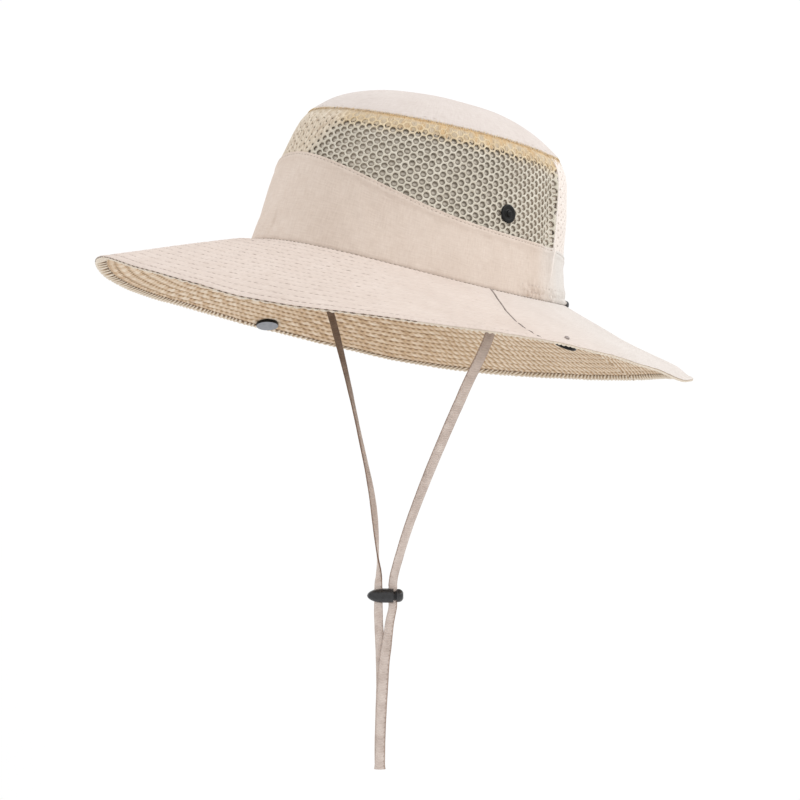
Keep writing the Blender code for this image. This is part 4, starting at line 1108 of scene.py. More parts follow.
# painted light: 'lit' makes the sheet paler over the forehead, at the sides and behind the rear crease
lit = np.clip(0.95 * near + far + (0.70 * ease(turn, 82.0, 118.0) + 0.35 * (1 - ease(turn, 30.0, 55.0)))[None], 0, 1)
settle(shell("crown_net_backing", tilt(top), tilt((top - nor * 0.0003)[:, ::3]), arc[None], np.concatenate([S, S[:, :1]], 1), closed=True, ku=3, mat="backing",
             attrs={"lit": lit}), "hat", ["crown_mesh"])

# raised seam down the rear crease, netting in front of it and plain knit behind
for side, sx in SIDES:
    hh = np.linspace(0.011, 0.0815, 120)
    fa = sx * (math.radians(125.0) + (hh - 0.045) * (0.18 / 0.094))
    lie = np.interp(hh - wave_h(fa), (-0.006, -0.0015, 0.0006, 0.0012), (0.00010, 0.00080, 0.00078, 0.00010))
    p, n = crown(fa, s_of_h(hh), lie)
    tg = unit(np.gradient(p, axis=0))
    b = np.cross(n, tg)
    a = 2 * PI * np.arange(10) / 10
    fat = 0.00085 * ease(np.minimum(hh - 0.011, 0.0815 - hh), -0.001, 0.004) * (1 + 0.06 * hum(hh, 0 * hh, 46, 0.006, 1.0))
    ring = p[:, None] + b[:, None] * (np.cos(a)[None] * fat[:, None])[..., None] + n[:, None] * (np.sin(a)[None] * fat[:, None] * 0.75)[..., None]
    settle(sweep("rear_crease_seam_" + side, tilt(ring), hh, np.append(np.arange(10) / 10, 1.0) * 0.004, "piping"), "hat")

# ------------------------------------------------------------------ crown band with its curved hem
nb_ = 720
ph = phi_of(ROUND * np.arange(nb_) / nb_)
arc = ROUND * np.arange(nb_) / nb_
v = np.concatenate([np.linspace(0, 0.30, 14), np.linspace(0.33, 0.80, 12), np.linspace(0.83, 0.97, 9), (0.982, 0.991, 0.996, 1.0)])
h_hi = wave_h(ph) + 0.0006
H = 0.0003 + (h_hi - 0.0003)[None] * v[:, None]
S = s_of_h(H)
down = (h_hi[None] - H)                       # distance below the hem's edge
off = 0.00075 * (1 - ease(down, 0.0022, 0.0060)) + 0.00005
off = off - 0.00030 * bell(down - 0.0015, 0.0005)                     # stitch groove
off = np.where(down < 0.0003, off - 0.00030, off)
back = ease(np.abs(wrap(ph)), math.radians(97), math.radians(112))
gather = back[None] * (1 - ease(H, 0.0025, 0.0115))
off = off + gather * (0.00095 * np.sin(2 * PI * arc / 0.0043 + 0.9 * hum(arc, 0 * arc, 61, 0.03, 1.0))[None]
                      + 0.00045 * hum(arc[None], H, 62, 0.0026, 0.006))
off = off - gather * 0.0003 * (bell(H - 0.0035, 0.0005) + bell(H - 0.0072, 0.0005))
off = off - 0.0005 * (1 - ease(H, 0.0002, 0.0016))                    # tucked in at the brim seam
off = off + 0.00010 * hum(arc[None], H, 63, 0.013, 0.02) * ease(down, 0.0, 0.004)
band_top, band_n = crown(ph[None], S, off)
thick = np.interp(down, (0, 0.0005, 0.0020, 0.0060), (0.0003, 0.0006, 0.0006, 0.0005))
settle(shell("crown_band_cloth", tilt(band_top), tilt((band_top - band_n * thick[..., None])[:, ::3]),
             np.append(arc, ROUND)[None], S[:, :1], closed=True, ku=3, mat="band"), "hat", ["crown_band"])

rows = []
ph_f = phi_of(ROUND * np.arange(1601) / 1600)
for drop, seed in ((0.0015, 71),):
    p, n = crown(ph_f, s_of_h(wave_h(ph_f) + 0.0006 - drop), 0.00075 - 0.00022)
    rows.append(along(p, n, 0.0027, 0.00008, seed=seed))
settle(stitch_rows("hem_stitches", rows, "thread_hem", 0.0021, 0.00024), "hat")

rows = []
p, n = crown(ph_f, s_of_h(0.0012 + 0 * ph_f), 0.0)
pb, nbm = brim(ph_f, np.full_like(ph_f, 0.0075), 0.0001)
rows.append(along(pb, unit(n + nbm), 0.0029, 0.0001, seed=72))
settle(stitch_rows("crown_seam_stitches", rows, "thread_dark", 0.0023, 0.00024), "hat")

rows = []
for q, seed in ((0.0035, 73), (0.0072, 74)):
    pf = np.linspace(math.radians(104), math.radians(256), 500)
    p, n = crown(pf, s_of_h(q + 0 * pf), -0.0001)
    rows.append(along(p, n, 0.0034, 0.0002, seed=seed))
settle(stitch_rows("gather_stitches", rows, "thread", 0.0024, 0.00020, dip=0.8), "hat")

rows = []
p, n = crown(ph_f, S_SEAM + 0.0018 + 0 * ph_f, 0.00064)
rows.append(along(p, n, 0.0029, 0.0001, seed=75))
settle(stitch_rows("top_seam_stitches", rows, "thread_pale", 0.0022, 0.00016, dip=0.7), "hat")


# ------------------------------------------------------------------ sweatband
def sweat_off(phi):
    k = np.clip((0.5 * (1 - np.cos(phi)) - 0.45) / 0.35, 0, 1)
    return -(FABRIC + 0.0004 + (CORD_ROOM - 0.0004) * k * k * (3 - 2 * k))


n_s = 480
ph = phi_of(ROUND * np.arange(n_s) / n_s)
arc = ROUND * np.arange(n_s) / n_s
hh = np.array((0.0006, 0.0008, 0.0012, 0.002, 0.004, 0.007, 0.010, 0.013, 0.016, 0.0190, 0.0205, 0.0212, 0.0218, 0.0225, 0.0232, 0.0237, 0.0240))
swell = np.interp(hh, (0.0006, 0.0012, 0.004, 0.0205, 0.0214, 0.0225, 0.0237, 0.024), (0.0003, 0.0010, 0.0014, 0.0013, 0.0009, 0.0013, 0.0010, 0.0004))
ripple = 0.00016 * hum(arc[None], hh[:, None], 81, 0.010, 0.03) + 0.00022 * hum(arc[None], hh[:, None], 82, 0.05, 0.05)
outer, n_o = crown(ph[None], s_of_h(hh)[:, None], sweat_off(ph)[None] + 0 * hh[:, None])
inner = outer - n_o * (swell[:, None] + ripple * ease(hh, 0.001, 0.003)[:, None])[..., None]
settle(shell("sweatband_cotton", tilt(inner), tilt(outer[:, ::3]), np.append(arc, ROUND)[None], hh[:, None], closed=True, flip=True, ku=3, mat="sweat"),
       "hat", ["sweatband"])
rows = []
for q, seed in ((0.0214, 83), (0.0030, 84)):
    p, n = crown(ph_f, s_of_h(q + 0 * ph_f), sweat_off(ph_f) - (0.00092 if q > 0.01 else 0.00128))
    rows.append(along(p, -n, 0.0030, 0.0001, seed=seed))
settle(stitch_rows("sweatband_stitches", rows, "thread_tan", 0.0023, 0.00020), "hat")


# ------------------------------------------------------------------ brim, in two halves that meet on the hat's centre line
def half_columns(n_front, n_rear, near=(0.0, 0.00015, 0.00035, 0.0006, 0.0010, 0.0016, 0.0024)):
    """Shares along the front part (0 front .. 1 side seam) and the rear part (1 seam .. 2 back)."""
    nf = np.array(near[::-1]) / 0.19
    a = np.concatenate([np.linspace(0, 1 - nf[0], n_front - len(nf) + 1)[:-1], 1 - nf])
    b = np.concatenate([1 + nf[::-1][1:], np.linspace(1 + nf[0], 2, n_rear - len(nf) + 2)[1:]])
    return np.concatenate([a, b])


def half_phi(c, t):
    sp = seam_phi(t)
    return np.where(c <= 1, c * sp, sp + (c - 1) * (PI - sp))


def strip_w(phi):
    """Width of the strip turned under at the rim."""
    return np.interp(np.abs(np.degrees(wrap(phi))), (0, 50, 70, 90, 122, 142, 180), (0.0066, 0.0070, 0.0078, 0.0052, 0.0052, 0.0072, 0.0072))


def close_up(phi, t):
    """How far the layers of the brim have closed up towards the rim, 0 to 1."""
    q = (1 - t) * 0.088 - strip_w(phi)
    return 1 - ease(q, -0.0012, 0.0022)


def upper_relief(phi, t):
    """Stitch furrows of the front, the side seam, and the turned-down rim."""
    a = np.abs(wrap(phi))
    wide = span_t(phi)
    k = t * N_ROWS
    to_row = np.abs(k - np.round(k)) / N_ROWS * wide
    d = (seam_phi(t) - a) * (BASE_A + (BRIM_A - BASE_A) * t)          # ahead of the seam
    ahead = ease(d, 0.0006, 0.003)
    inside = ease(t, 0.01, 0.03) * (1 - ease(t, 0.955, 0.975))
    puff = 0.00024 * (1 - bell(to_row, 0.0009)) - 0.00016
    fur = ahead * inside * (puff + 0.00007 * hum(a * 0.13, t * 0.09, 91, 0.006, 0.0045))
    seam = (-0.00075 * bell(d, 0.00030) + 0.00042 * bell(d - 0.0011, 0.0008) + 0.00018 * bell(d + 0.0010, 0.0008)) * (1 - ease(t, 0.86, 0.98))
    seam = seam + 0.00012 * ease(d, -0.0004, 0.0008) * (1 - ease(t, 0.95, 0.98))
    return fur + seam * ease(t, 0.0, 0.02)


def pucker_of(phi, t, side):
    """Quilted lining: slanting puffs between stitch rows; and how deep in a hollow each point is, which the lining's
    colour turns into painted shade.
    """
    a = np.abs(wrap(phi))
    k = t * N_ROWS
    row = np.minimum(np.floor(k), N_ROWS - 1)
    f = k - row
    x = a * (0.098 + 0.082 * (row + 0.5) / N_ROWS)                     # distance round the brim, near enough
    lag = np.sin(row * 12.9898 + 3.1 * side) * 43758.5453
    lag = (lag - np.floor(lag)) * 2 * PI
    wobble = 1.1 * hum(x, row * 0.37, 101, 0.022, 1.0)
    ang = 2 * PI * (x - 0.0026 * (f - 0.5)) / STITCH + lag + wobble
    pinch = 0.5 + 0.5 * np.sin(ang)
    size = 0.85 + 0.25 * hum(x, row * 0.53, 103, 0.009, 1.0)
    crest = np.clip(4 * f * (1 - f), 0, 1) ** 0.45
    rear = ease(a, math.radians(118), math.radians(150))
    grain_h = crest * (0.00012 + 0.00072 * np.clip(size, 0.4, 1.3) * pinch)
    # painted shade: grain and rib darken the hollows between puffs, the dashes along the stitch rows, the sides of the
    # brim, and (further down) the fold of the turned strip
    grain = 0.03 + 0.34 * (1 - crest) + 0.66 * (1 - pinch) ** 1.5
    dash = 0.5 + 0.5 * np.sin(2 * PI * x / STITCH + lag + 0.5 * wobble)
    ribs = np.clip(4 * f * (1 - f), 0, 1) ** 0.8
    rib_h = ribs * (0.00030 + 0.00022 * np.clip(size, 0.4, 1.3) * pinch)
    rib = 0.12 + 0.13 * ease(a, math.radians(70), math.radians(100)) + (1 - ribs) * (0.22 + 1.05 * dash) + 0.22 * (1 - pinch) * ribs + 0.14 * hum(x, t * 0.09, 104, 0.013, 0.02)
    past = (1 - t) * 0.088 - strip_w(phi)                               # distance inside the strip turned under
    fade = ease(t, 0.0, 0.02) * ease(past, -0.0004, 0.0010)
    for name, sgn in SIDES:                                            # pressed flat round the snaps
        if sgn == side:
            at = PI / 2 + math.asin(SNAP_Y[name] / 0.178)
            fade = fade * (1 - 0.9 * bell(np.hypot((a - at) * 0.17, (t - SNAP_T) * 0.088), 0.0095) ** 2)
    h = grain_h * rear + rib_h * (1 - rear)
    hollow = np.clip(grain * rear + rib * (1 - rear), 0, 1)
    return h * fade, np.clip(hollow * fade + 0.55 * bell(past - 0.0006, 0.0008), 0, 1)


def shares(rel, last=T_EDGE):
    """Shares of the brim's width: every stitch row alike, then close steps to the rim; one more than a multiple of four."""
    t = ((np.arange(N_ROWS)[:, None] + np.array(rel)[None]) / N_ROWS).ravel()
    t = t[t < 0.940]
    n = 8 + (-(len(t) + 7)) % 4
    return np.concatenate([t, np.linspace(0.945, last, n)])


t_up = shares((0.0, 0.10, 0.24, 0.5, 0.76, 0.90))
cols_up = half_columns(301, 140)
cols_up = cols_up[:len(cols_up) - (len(cols_up) - 1) % 4] if (len(cols_up) - 1) % 4 else cols_up
cols_up[-1] = 2.0
t_un = shares((0.0, 0.12, 0.3, 0.5, 0.7, 0.88))
cols_un = np.linspace(0, 2, 865)
OFF_CORE, OFF_UNDER = -(FABRIC + GAP), -(2 * FABRIC + 2 * GAP)

for side, sx in SIDES:
    # upper cloth
    C, Tt = np.meshgrid(cols_up, t_up)
    ph = sx * half_phi(C, Tt)
    top, nor = brim(ph, Tt, upper_relief(ph, Tt) - 0.00012 * close_up(ph, Tt))
    low, _ = brim(ph[::2, ::2], Tt[::2, ::2], -FABRIC)
    u = ph * (0.098 + 0.082 * Tt)
    w = Tt * 0.09
    settle_bent(shell("brim_cloth_" + side, tilt(top), tilt(low), u, w, flip=(sx > 0), mat="brim", ku=2, kv=2), side,
                ["brim_upper_" + side, "brim_upper_front", "brim_upper_rear"])
    # interlining
    C, Tt = np.meshgrid(np.linspace(0, 2, 289), np.linspace(0.03, 0.885, 49))
    ph = sx * half_phi(C, Tt)
    top, _ = brim(ph, Tt, OFF_CORE)
    low, _ = brim(ph, Tt, OFF_CORE - FABRIC)
    settle_bent(shell("brim_interlining_" + side, tilt(top), tilt(low), ph * 0.13, Tt * 0.09, flip=(sx > 0), mat="core"), side,
                ["brim_core_" + side, "brim_core_front", "brim_core_rear"])
    # quilted lining
    C, Tt = np.meshgrid(cols_un, t_un)
    ph = sx * half_phi(C, Tt)
    hgt, hollow = pucker_of(ph, Tt, sx)
    top, _ = brim(ph, Tt, OFF_UNDER - 0.0003 - hgt + 0.00055 * close_up(ph, Tt))
    low, _ = brim(ph[::4, ::4], Tt[::4, ::4], OFF_UNDER + 0.00070 * close_up(ph[::4, ::4], Tt[::4, ::4]))
    u = ph * (0.098 + 0.082 * Tt)
    settle_bent(shell("brim_lining_" + side, tilt(top), tilt(low), u, Tt * 0.09, flip=(sx < 0), mat="lining", ku=4, kv=4,
                      attrs={"hollow": hollow}, sharp=0), side,
                ["brim_under_" + side, "brim_under_front", "brim_under_rear"])
    # rolled rim: upper cloth above, a stitched groove, and a pleated strip turned under
    n_b = 1300
    ph = sx * np.linspace(0, PI, n_b)
    wide = span_t(ph)
    sec = np.array([(0.0027, 0.00026), (0.0023, 0.00020), (0.0019, 0.00014), (0.0015, 0.00020), (0.0011, 0.00026), (0.0007, 0.00024), (0.0003, 0.00008), (0.00012, -0.00014),
                    (0.00020, -0.00036), (0.00052, -0.00056), (0.00022, -0.00078), (0.00002, -0.00104), (0.00012, -0.00134), (0.00045, -0.00158), (0.0009, -0.00168),
                    (0.0016, -0.00176), (0.0026, -0.00184), (0.0038, -0.00190), (0.0052, -0.00194), (0.0066, -0.00196), (0.0080, -0.00196), (0.0091, -0.00192), (0.0099, -0.00184), (0.0104, -0.00168)])
    m_half, m_sec = 9, len(sec)
    cen = np.array((0.0040, -0.0007))
    tang = np.gradient(sec, axis=0)
    nn = unit(np.stack([-tang[:, 1], tang[:, 0]], -1))
    nn = np.where((np.sum(nn * (cen - sec), -1) < 0)[:, None], -nn, nn)
    inner = sec + nn * 0.00022
    inner[m_half - 1:m_half + 2] = (0.00085, -0.00056)
    inner[m_half - 1, 1], inner[m_half + 1, 1] = -0.00046, -0.00066
    sec = np.concatenate([sec, inner[::-1]])
    x = np.abs(ph) * 0.18
    loose = np.where(np.arange(len(sec)) > m_half, 1.0, 0.0) * np.where(np.arange(len(sec)) < m_sec, 1.0, 0.5)
    share = strip_w(ph) / 0.0104
    depth = np.where(sec[None, :, 0] > 0.0009, 0.0009 + (sec[None, :, 0] - 0.0009) * (share[:, None] * 0.0104 - 0.0009) / 0.0095, sec[None, :, 0])
    depth = np.where(np.arange(len(sec))[None] < m_half, sec[None, :, 0], depth)
    depth = np.where(np.arange(len(sec))[None] >= 2 * m_sec - m_half, sec[None, :, 0], depth)
    deg = np.abs(np.degrees(ph))
    slope = (-0.5 + 1.4 * ease(deg, 80.0, 120.0)) * -sx                 # which way the pleats lean along the rim
    pitch = 0.0031 + 0.0060 * bell(deg - 24.0, 18.0)                    # pleats lie wider apart round the front
    phase = np.concatenate([[0], np.cumsum(2 * PI * np.diff(x) / (0.5 * (pitch[1:] + pitch[:-1])))])
    lean = np.sin(phase[:, None] - 2 * PI * slope[:, None] * np.clip(depth - 0.0006, 0, 0.0098) / pitch[:, None] + 0.9 * hum(x, 0 * x, 111, 0.015, 1.0)[:, None])
    tt = 1 - depth / wide[:, None]
    at = PI / 2 + math.asin(SNAP_Y[side] / 0.178)
    flat = 1 - 0.95 * bell(np.hypot((np.abs(ph)[:, None] - at) * 0.17, (tt - SNAP_T) * 0.088), 0.0100)
    down = np.where(sec[:, 1] < -0.0009, 1.0, 0.0) * loose
    ring, _ = brim(np.broadcast_to(ph[:, None], tt.shape), tt, sec[None, :, 1] - 0.00034 * lean * flat * down[None] + 0.00006 * hum(x, 0 * x, 112, 0.012, 1.0)[:, None])
    run = np.append(np.cumsum(np.r_[0, np.linalg.norm(np.diff(sec, axis=0), axis=1)]), 0.024)
    # painted shade for the rim cloth's 'hollow': a dark line in the stitched groove at the front and back, and dark
    # slanting strokes between the pleats of the turned strip
    groove = 0.50 * (1 - ease(deg, 57.0, 68.0)) + 0.85 * ease(deg, 106.0, 118.0)
    inward = sec[None, :, 0] / 0.0104
    pleat_shade = np.clip(0.50 - 0.85 * lean, 0, 1) * (0.30 + 0.70 * ease(inward, 0.1, 0.7)) + 0.22 * ease(inward, 0.72, 1.0)
    deep = groove[:, None] * (np.abs(np.arange(len(sec)) - m_half) < 1)[None] + pleat_shade * (sec[:, 0] > 0.0010)[None] * down[None]
    rimob = sweep("brim_edge_binding_" + side, tilt(ring), x, run, "brim", attrs={"hollow": np.clip(deep, 0, 1).ravel()})
    rimob.data.materials.append(MAT["rim"])
    col = np.arange((n_b - 1) * len(sec)) % len(sec)
    idx = np.zeros(len(rimob.data.polygons), np.int32)
    idx[:len(col)] = (col >= m_half - 1) & (col < 2 * m_sec - m_half)
    rimob.data.polygons.foreach_set("material_index", idx)
    settle_bent(rimob, side, ["brim_binding_" + side, "brim_binding_front", "brim_binding_rear"])
    # stitches of the upper cloth: rows of the front, and the rim's row all round
    rows = []
    for k in range(1, N_ROWS):
        t = k / N_ROWS
        a_end = float(seam_phi(t)) - 0.0022 / (0.085 + 0.0815 * t)
        pf = sx * np.linspace(0.002, a_end, 260)
        tv = np.full_like(pf, t)
        sunk = 0.00016 * ease(np.abs(pf), math.radians(42), math.radians(66)) + 0.00007 * hum(pf * 0.14, tv, 260 + k, 0.011, 1.0)
        p, n = brim(pf, tv, upper_relief(pf, tv) + 0.00006 - sunk)
        rows.append(along(p, n, STITCH, 0.00030, start=0.3 + 0.6 * ((k * 0.618) % 1), seed=200 + k))
    settle_bent(stitch_rows("brim_stitches_" + side, rows, "thread", 0.0031, 0.00019, dip=0.6), side)
    pf = sx * np.linspace(0.002, PI - 0.002, 900)
    rows = []
    p, n = brim(pf, 1 - 0.0019 / span_t(pf), 0.00016)
    rows.append(along(p, n, 0.0036, 0.0001, seed=230))
    settle_bent(stitch_rows("edge_stitches_" + side, rows, "thread_pale", 0.0027, 0.00015, dip=0.7), side)
    rows = []
    p, n = brim(pf, 1 - (strip_w(pf) - 0.0006) / span_t(pf), -0.00190)
    rows.append(along(p, -n, 0.0040, 0.0001, seed=231))
    settle_bent(stitch_rows("rim_stitches_" + side, rows, "thread_dark", 0.0027, 0.00030, dip=0.7), side)
    pf = sx * np.linspace(0.002, math.radians(63), 420)
    p, n = brim(pf, 1 - 0.00030 / span_t(pf), -0.00056)
    out = unit(brim_raw(pf, np.ones_like(pf)) - brim_raw(pf, np.full_like(pf, 0.9)))
    settle_bent(stitch_rows("groove_stitches_" + side, [along(p, unit(out - 0.2 * n), 0.0049, 0.0003, seed=232)], "thread_rim", 0.0037, 0.00052, dip=0.5), side)
    # stitches of the lining
    rows = []
    for k in range(1, N_ROWS - 1):
        t = k / N_ROWS
        pf = sx * np.linspace(0.002, PI - 0.002, 520)
        p, n = brim(pf, np.full_like(pf, t), OFF_UNDER - 0.00042)
        rows.append(along(p, -n, STITCH, 0.00015, start=0.3 + 0.6 * ((k * 0.618) % 1), seed=300 + k))
    settle_bent(stitch_rows("lining_stitches_" + side, rows, "thread_lining", 0.0026, 0.00018, sides=4, dip=0.8), side)
    # dark seam thread between the stitched front and the plain back of the brim; its thickness and dark colour also
    # paint the shadow in the seam's gap
    for part, (t0, t1, thick, sunk) in enumerate(((0.012, 0.715, 0.00088, -0.00020), (0.738, 0.842, 0.00075, 0.00005), (0.860, 0.915, 0.00055, 0.00010), (0.940, 0.982, 0.00036, 0.00012))):
        tq = np.linspace(t0, t1, 220 if part == 0 else 40)
        p, n = brim(sx * seam_phi(tq), tq, sunk)
        tg = unit(np.gradient(p, axis=0))
        b = np.cross(n, tg)
        a = 2 * PI * np.arange(8) / 8
        fat = thick * (0.35 + 0.65 * ease(np.minimum(tq - t0, t1 - tq), 0.0, 0.016)) * (1 + 0.14 * np.sin(2 * PI * tq * 0.085 / 0.0026))
        ring = p[:, None] + b[:, None] * (np.cos(a)[None] * fat[:, None])[..., None] + n[:, None] * (np.sin(a)[None] * fat[:, None] * 0.8)[..., None]
        settle_bent(sweep("side_seam_thread_%s_%d" % (side, part), tilt(ring), tq * 0.085, np.append(np.arange(8) / 8, 1.0), "seam_shade_thread"), side)

# ------------------------------------------------------------------ snaps
STACK = 3 * FABRIC + 2 * GAP
for side, sx in SIDES:
    y = SNAP_Y[side]
    half = BASE_B + (0.5 * (BRIM_BF + BRIM_BB) - BASE_B) * SNAP_T
    phi = sx * (PI / 2 + math.asin(y / half))
    p, n = brim(np.array([phi]), np.array([SNAP_T]))
    p, n = tilt(p)[0], tilt(n)[0]
    z0 = -(STACK + 0.00050)
    cap = turned("snap_cap_cover_" + side, ((0, 0.0008), (0.0007, 0.0008), (0.0007, z0 + 0.0004), (0.0064, z0 + 0.0004), (0.0073, z0), (0.0074, z0 - 0.0010),
                                            (0.0072, z0 - 0.0019), (0.0066, z0 - 0.0019), (0.0030, z0 - 0.0020), (0, z0 - 0.0020)),
                 p, n, "snap", 72, 0.0003, mats=("snap_face", lambda r, h, z0=z0: h < z0 - 0.0017 and r < 0.0071))
    settle(cap, "brim_" + side, ["snap_cap_" + side])
    soc = turned("snap_socket_ring_" + side, ((0.0012, 0.0012), (0.0015, 0.0009), (0.0016, 0.0002), (0.0008, 0.0002), (0.0008, 0.0010), (0.0009, 0.0012)),
                 p, n, "socket", 48, 0.0002, closed=True)
    settle(soc, "brim_" + side, ["snap_socket_" + side])
    a = np.array([sx * (PI / 2 + math.asin(y / 0.0955))])
    pc, nc = crown(a, s_of_h(STUD_H + 0 * a))
    pc, nc = tilt(pc)[0], tilt(nc)[0]
    stud = turned("crown_stud_head_" + side, ((0, 0.0023), (0.0011, 0.0023), (0.0019, 0.0021), (0.0020, 0.0013), (0.0026, 0.0010), (0.0040, 0.0012),
                                              (0.0050, 0.0012), (0.0056, 0.0008), (0.0056, 0.0003), (0.0050, 0.00025), (0.0016, 0.00025), (0.0016, -0.0026), (0, -0.0026)),
                  pc, nc, "snap", 64, 0.0003)
    settle(stud, "hat", ["crown_stud_" + side])
    plate = turned("crown_stud_plate_" + side, ((0.0048, -0.0017), (0.0050, -0.0020), (0.0048, -0.0025), (0.0026, -0.0026), (0.0020, -0.0024), (0.0020, -0.0017)),
                   pc, nc, "snap", 56, 0.0002, closed=True)
    settle(plate, "hat", ["crown_stud_back_" + side])


# ------------------------------------------------------------------ cord tabs
def soft_box(name, lo, hi, radius, cuts, mat, shape=None):
    """Rounded box with an even grid of faces, that shape(points) may bend."""
    bm = bmesh.new()
    size = [b - a for a, b in zip(lo, hi)]
    mid = [(a + b) / 2 for a, b in zip(lo, hi)]
    bmesh.ops.create_cube(bm, size=1.0, matrix=Matrix.Translation(mid) @ Matrix.Diagonal((*size, 1.0)))
    bmesh.ops.bevel(bm, geom=list(bm.edges), offset=radius, segments=3, profile=0.5, affect="EDGES")
    long_edges = [e for e in bm.edges if e.calc_length() > 0.0015]
    bmesh.ops.subdivide_edges(bm, edges=long_edges, cuts=cuts, use_grid_fill=True)
    me = bpy.data.meshes.new(name)
    bmesh.ops.recalc_face_normals(bm, faces=bm.faces)
    bm.to_mesh(me)
    bm.free()
    co = np.array([v.co for v in me.vertices])
    if shape:
        co = shape(co)
    me.vertices.foreach_set("co", co.astype(np.float32).ravel())
    me.polygons.foreach_set("use_smooth", np.ones(len(me.polygons), bool))
    me.materials.append(MAT[mat])
    layer = me.uv_layers.new(name="cloth")
    idx = np.zeros(len(me.loops), np.int32)
    me.loops.foreach_get("vertex_index", idx)
    layer.data.foreach_set("uv", co[idx][:, 1:3].astype(np.float32).ravel())
    ob = bpy.data.objects.new(name, me)
    bpy.context.scene.collection.objects.link(ob)
    return ob


for side, sx in SIDES:
    ax, ay = ANCHOR[side]
    lo = (ax - ANCHOR_T / 2, ay - ANCHOR_W / 2, ANCHOR_LOW)
    hi = (ax + ANCHOR_T / 2, ay + ANCHOR_W / 2, ANCHOR_LOW + ANCHOR_H)

    def bend_tab(co, ax=ax, ay=ay):
        z = (co[:, 2] - ANCHOR_LOW) / ANCHOR_H
        co = co.copy()
        co[:, 1] = ay + (co[:, 1] - ay) * (1 - 0.14 * (1 - z))
        co[:, 0] = ax + (co[:, 0] - ax) * (1 + 0.25 * (1 - ease(z, 0.0, 0.35))) + 0.00012 * np.sin(co[:, 2] * 2 * PI / 0.004)
        return co
    tab = soft_box("chin_tab_" + side, lo, hi, 0.0004, 6, "tab", bend_tab)
    tab.data.transform(Matrix.Rotation(PITCH, 4, "X"))
    settle(tab, "hat", ["chin_anchor_" + side])
    rows = []
    for zc in (0.0020, 0.0032, 0.0044):
        yy = np.linspace(ay - 0.0038, ay + 0.0038, 30)
        for face in (-1, 1):
            p = np.stack([np.full_like(yy, ax + face * (ANCHOR_T / 2 + 0.00012)), yy, np.full_like(yy, ANCHOR_LOW + zc)], -1)
            rows.append(along(p, np.broadcast_to(np.array((float(face), 0, 0)), p.shape), 0.0013, 0.00005, seed=int(zc * 1e5)))
    settle(stitch_rows("tab_bartack_" + side, rows, "thread_tan", 0.0011, 0.00018), "hat")


# ------------------------------------------------------------------ chin cord lock
def lock_world(p):
    p = np.asarray(p, float)
    return LP + p[..., :1] * E1 + p[..., 1:2] * (-E2) + p[..., 2:] * E3


def bean(name, x0, x1, hy, hz, pow_x, pow_s, mat, lean=0.0):
    """Rounded plug along X between x0 and x1, with superellipse sections."""
    n, k = 46, 48
    c, a = 0.5 * (x0 + x1), 0.5 * (x1 - x0)
    xi = np.sin(np.linspace(-0.5 * PI, 0.5 * PI, n))[1:-1]
    sc = (1 - np.abs(xi) ** pow_x) ** (1 / pow_s)
    ang = 2 * PI * np.arange(k) / k
    cy = np.sign(np.cos(ang)) * np.abs(np.cos(ang)) ** 0.75
    cz = np.sign(np.sin(ang)) * np.abs(np.sin(ang)) ** 0.75
    rings = np.stack([np.broadcast_to((c + a * xi)[:, None], (n - 2, k)), hy * sc[:, None] * cy[None],
                      hz * sc[:, None] * cz[None] + lean * (1 - xi ** 2)[:, None]], -1)
    ix = np.arange((n - 2) * k).reshape(n - 2, k)
    ixw = np.concatenate([ix, ix[:, :1]], 1)
    f = np.stack([ixw[:-1, :-1], ixw[:-1, 1:], ixw[1:, 1:], ixw[1:, :-1]], -1).reshape(-1, 4)
    v = np.concatenate([rings.reshape(-1, 3), [(x0, 0, 0), (x1, 0, 0)]])
    m = (n - 2) * k
    caps = np.concatenate([np.stack([np.full(k, m), ixw[0, 1:], ixw[0, :-1]], -1), np.stack([np.full(k, m + 1), ixw[-1, :-1], ixw[-1, 1:]], -1)])
    ob = build(name, lock_world(v), [f, caps], None, mat, None, 0)
    bm = bmesh.new()
    bm.from_mesh(ob.data)
    bmesh.ops.recalc_face_normals(bm, faces=bm.faces)
    bm.to_mesh(ob.data)
    bm.free()
    return ob


def cutter(lo, hi, round_x=False):
    bm = bmesh.new()
    size = [b - a for a, b in zip(lo, hi)]
    mid = [(a + b) / 2 for a, b in zip(lo, hi)]
    if round_x:
        bmesh.ops.create_cone(bm, cap_ends=True, segments=40, radius1=0.5, radius2=0.5, depth=1.0,
                              matrix=Matrix.Translation(mid) @ Matrix.Diagonal((*size, 1.0)) @ Matrix.Rotation(PI / 2, 4, "Y"))
    else:
        bmesh.ops.create_cube(bm, size=1.0, matrix=Matrix.Translation(mid) @ Matrix.Diagonal((*size, 1.0)))
    me = bpy.data.meshes.new("cutter")
    for v in bm.verts:
        v.co = Vector(lock_world(np.array(v.co)))
    bmesh.ops.recalc_face_normals(bm, faces=bm.faces)
    bm.to_mesh(me)
    bm.free()
    ob = bpy.data.objects.new("cutter", me)
    bpy.context.scene.collection.objects.link(ob)
    return ob


def carve(ob, cutters, angle=38):
    for c in cutters:
        m = ob.modifiers.new("cut", "BOOLEAN")
        m.operation, m.solver, m.object = "DIFFERENCE", "EXACT", c
    bpy.context.view_layer.update()
    dg = bpy.context.evaluated_depsgraph_get()
    me = bpy.data.meshes.new_from_object(ob.evaluated_get(dg))
    ob.modifiers.clear()
    ob.data = me
    for c in cutters:
        bpy.data.objects.remove(c, do_unlink=True)
    me.polygons.foreach_set("use_smooth", np.ones(len(me.polygons), bool))
    me.set_sharp_from_angle(angle=math.radians(angle))
    return ob


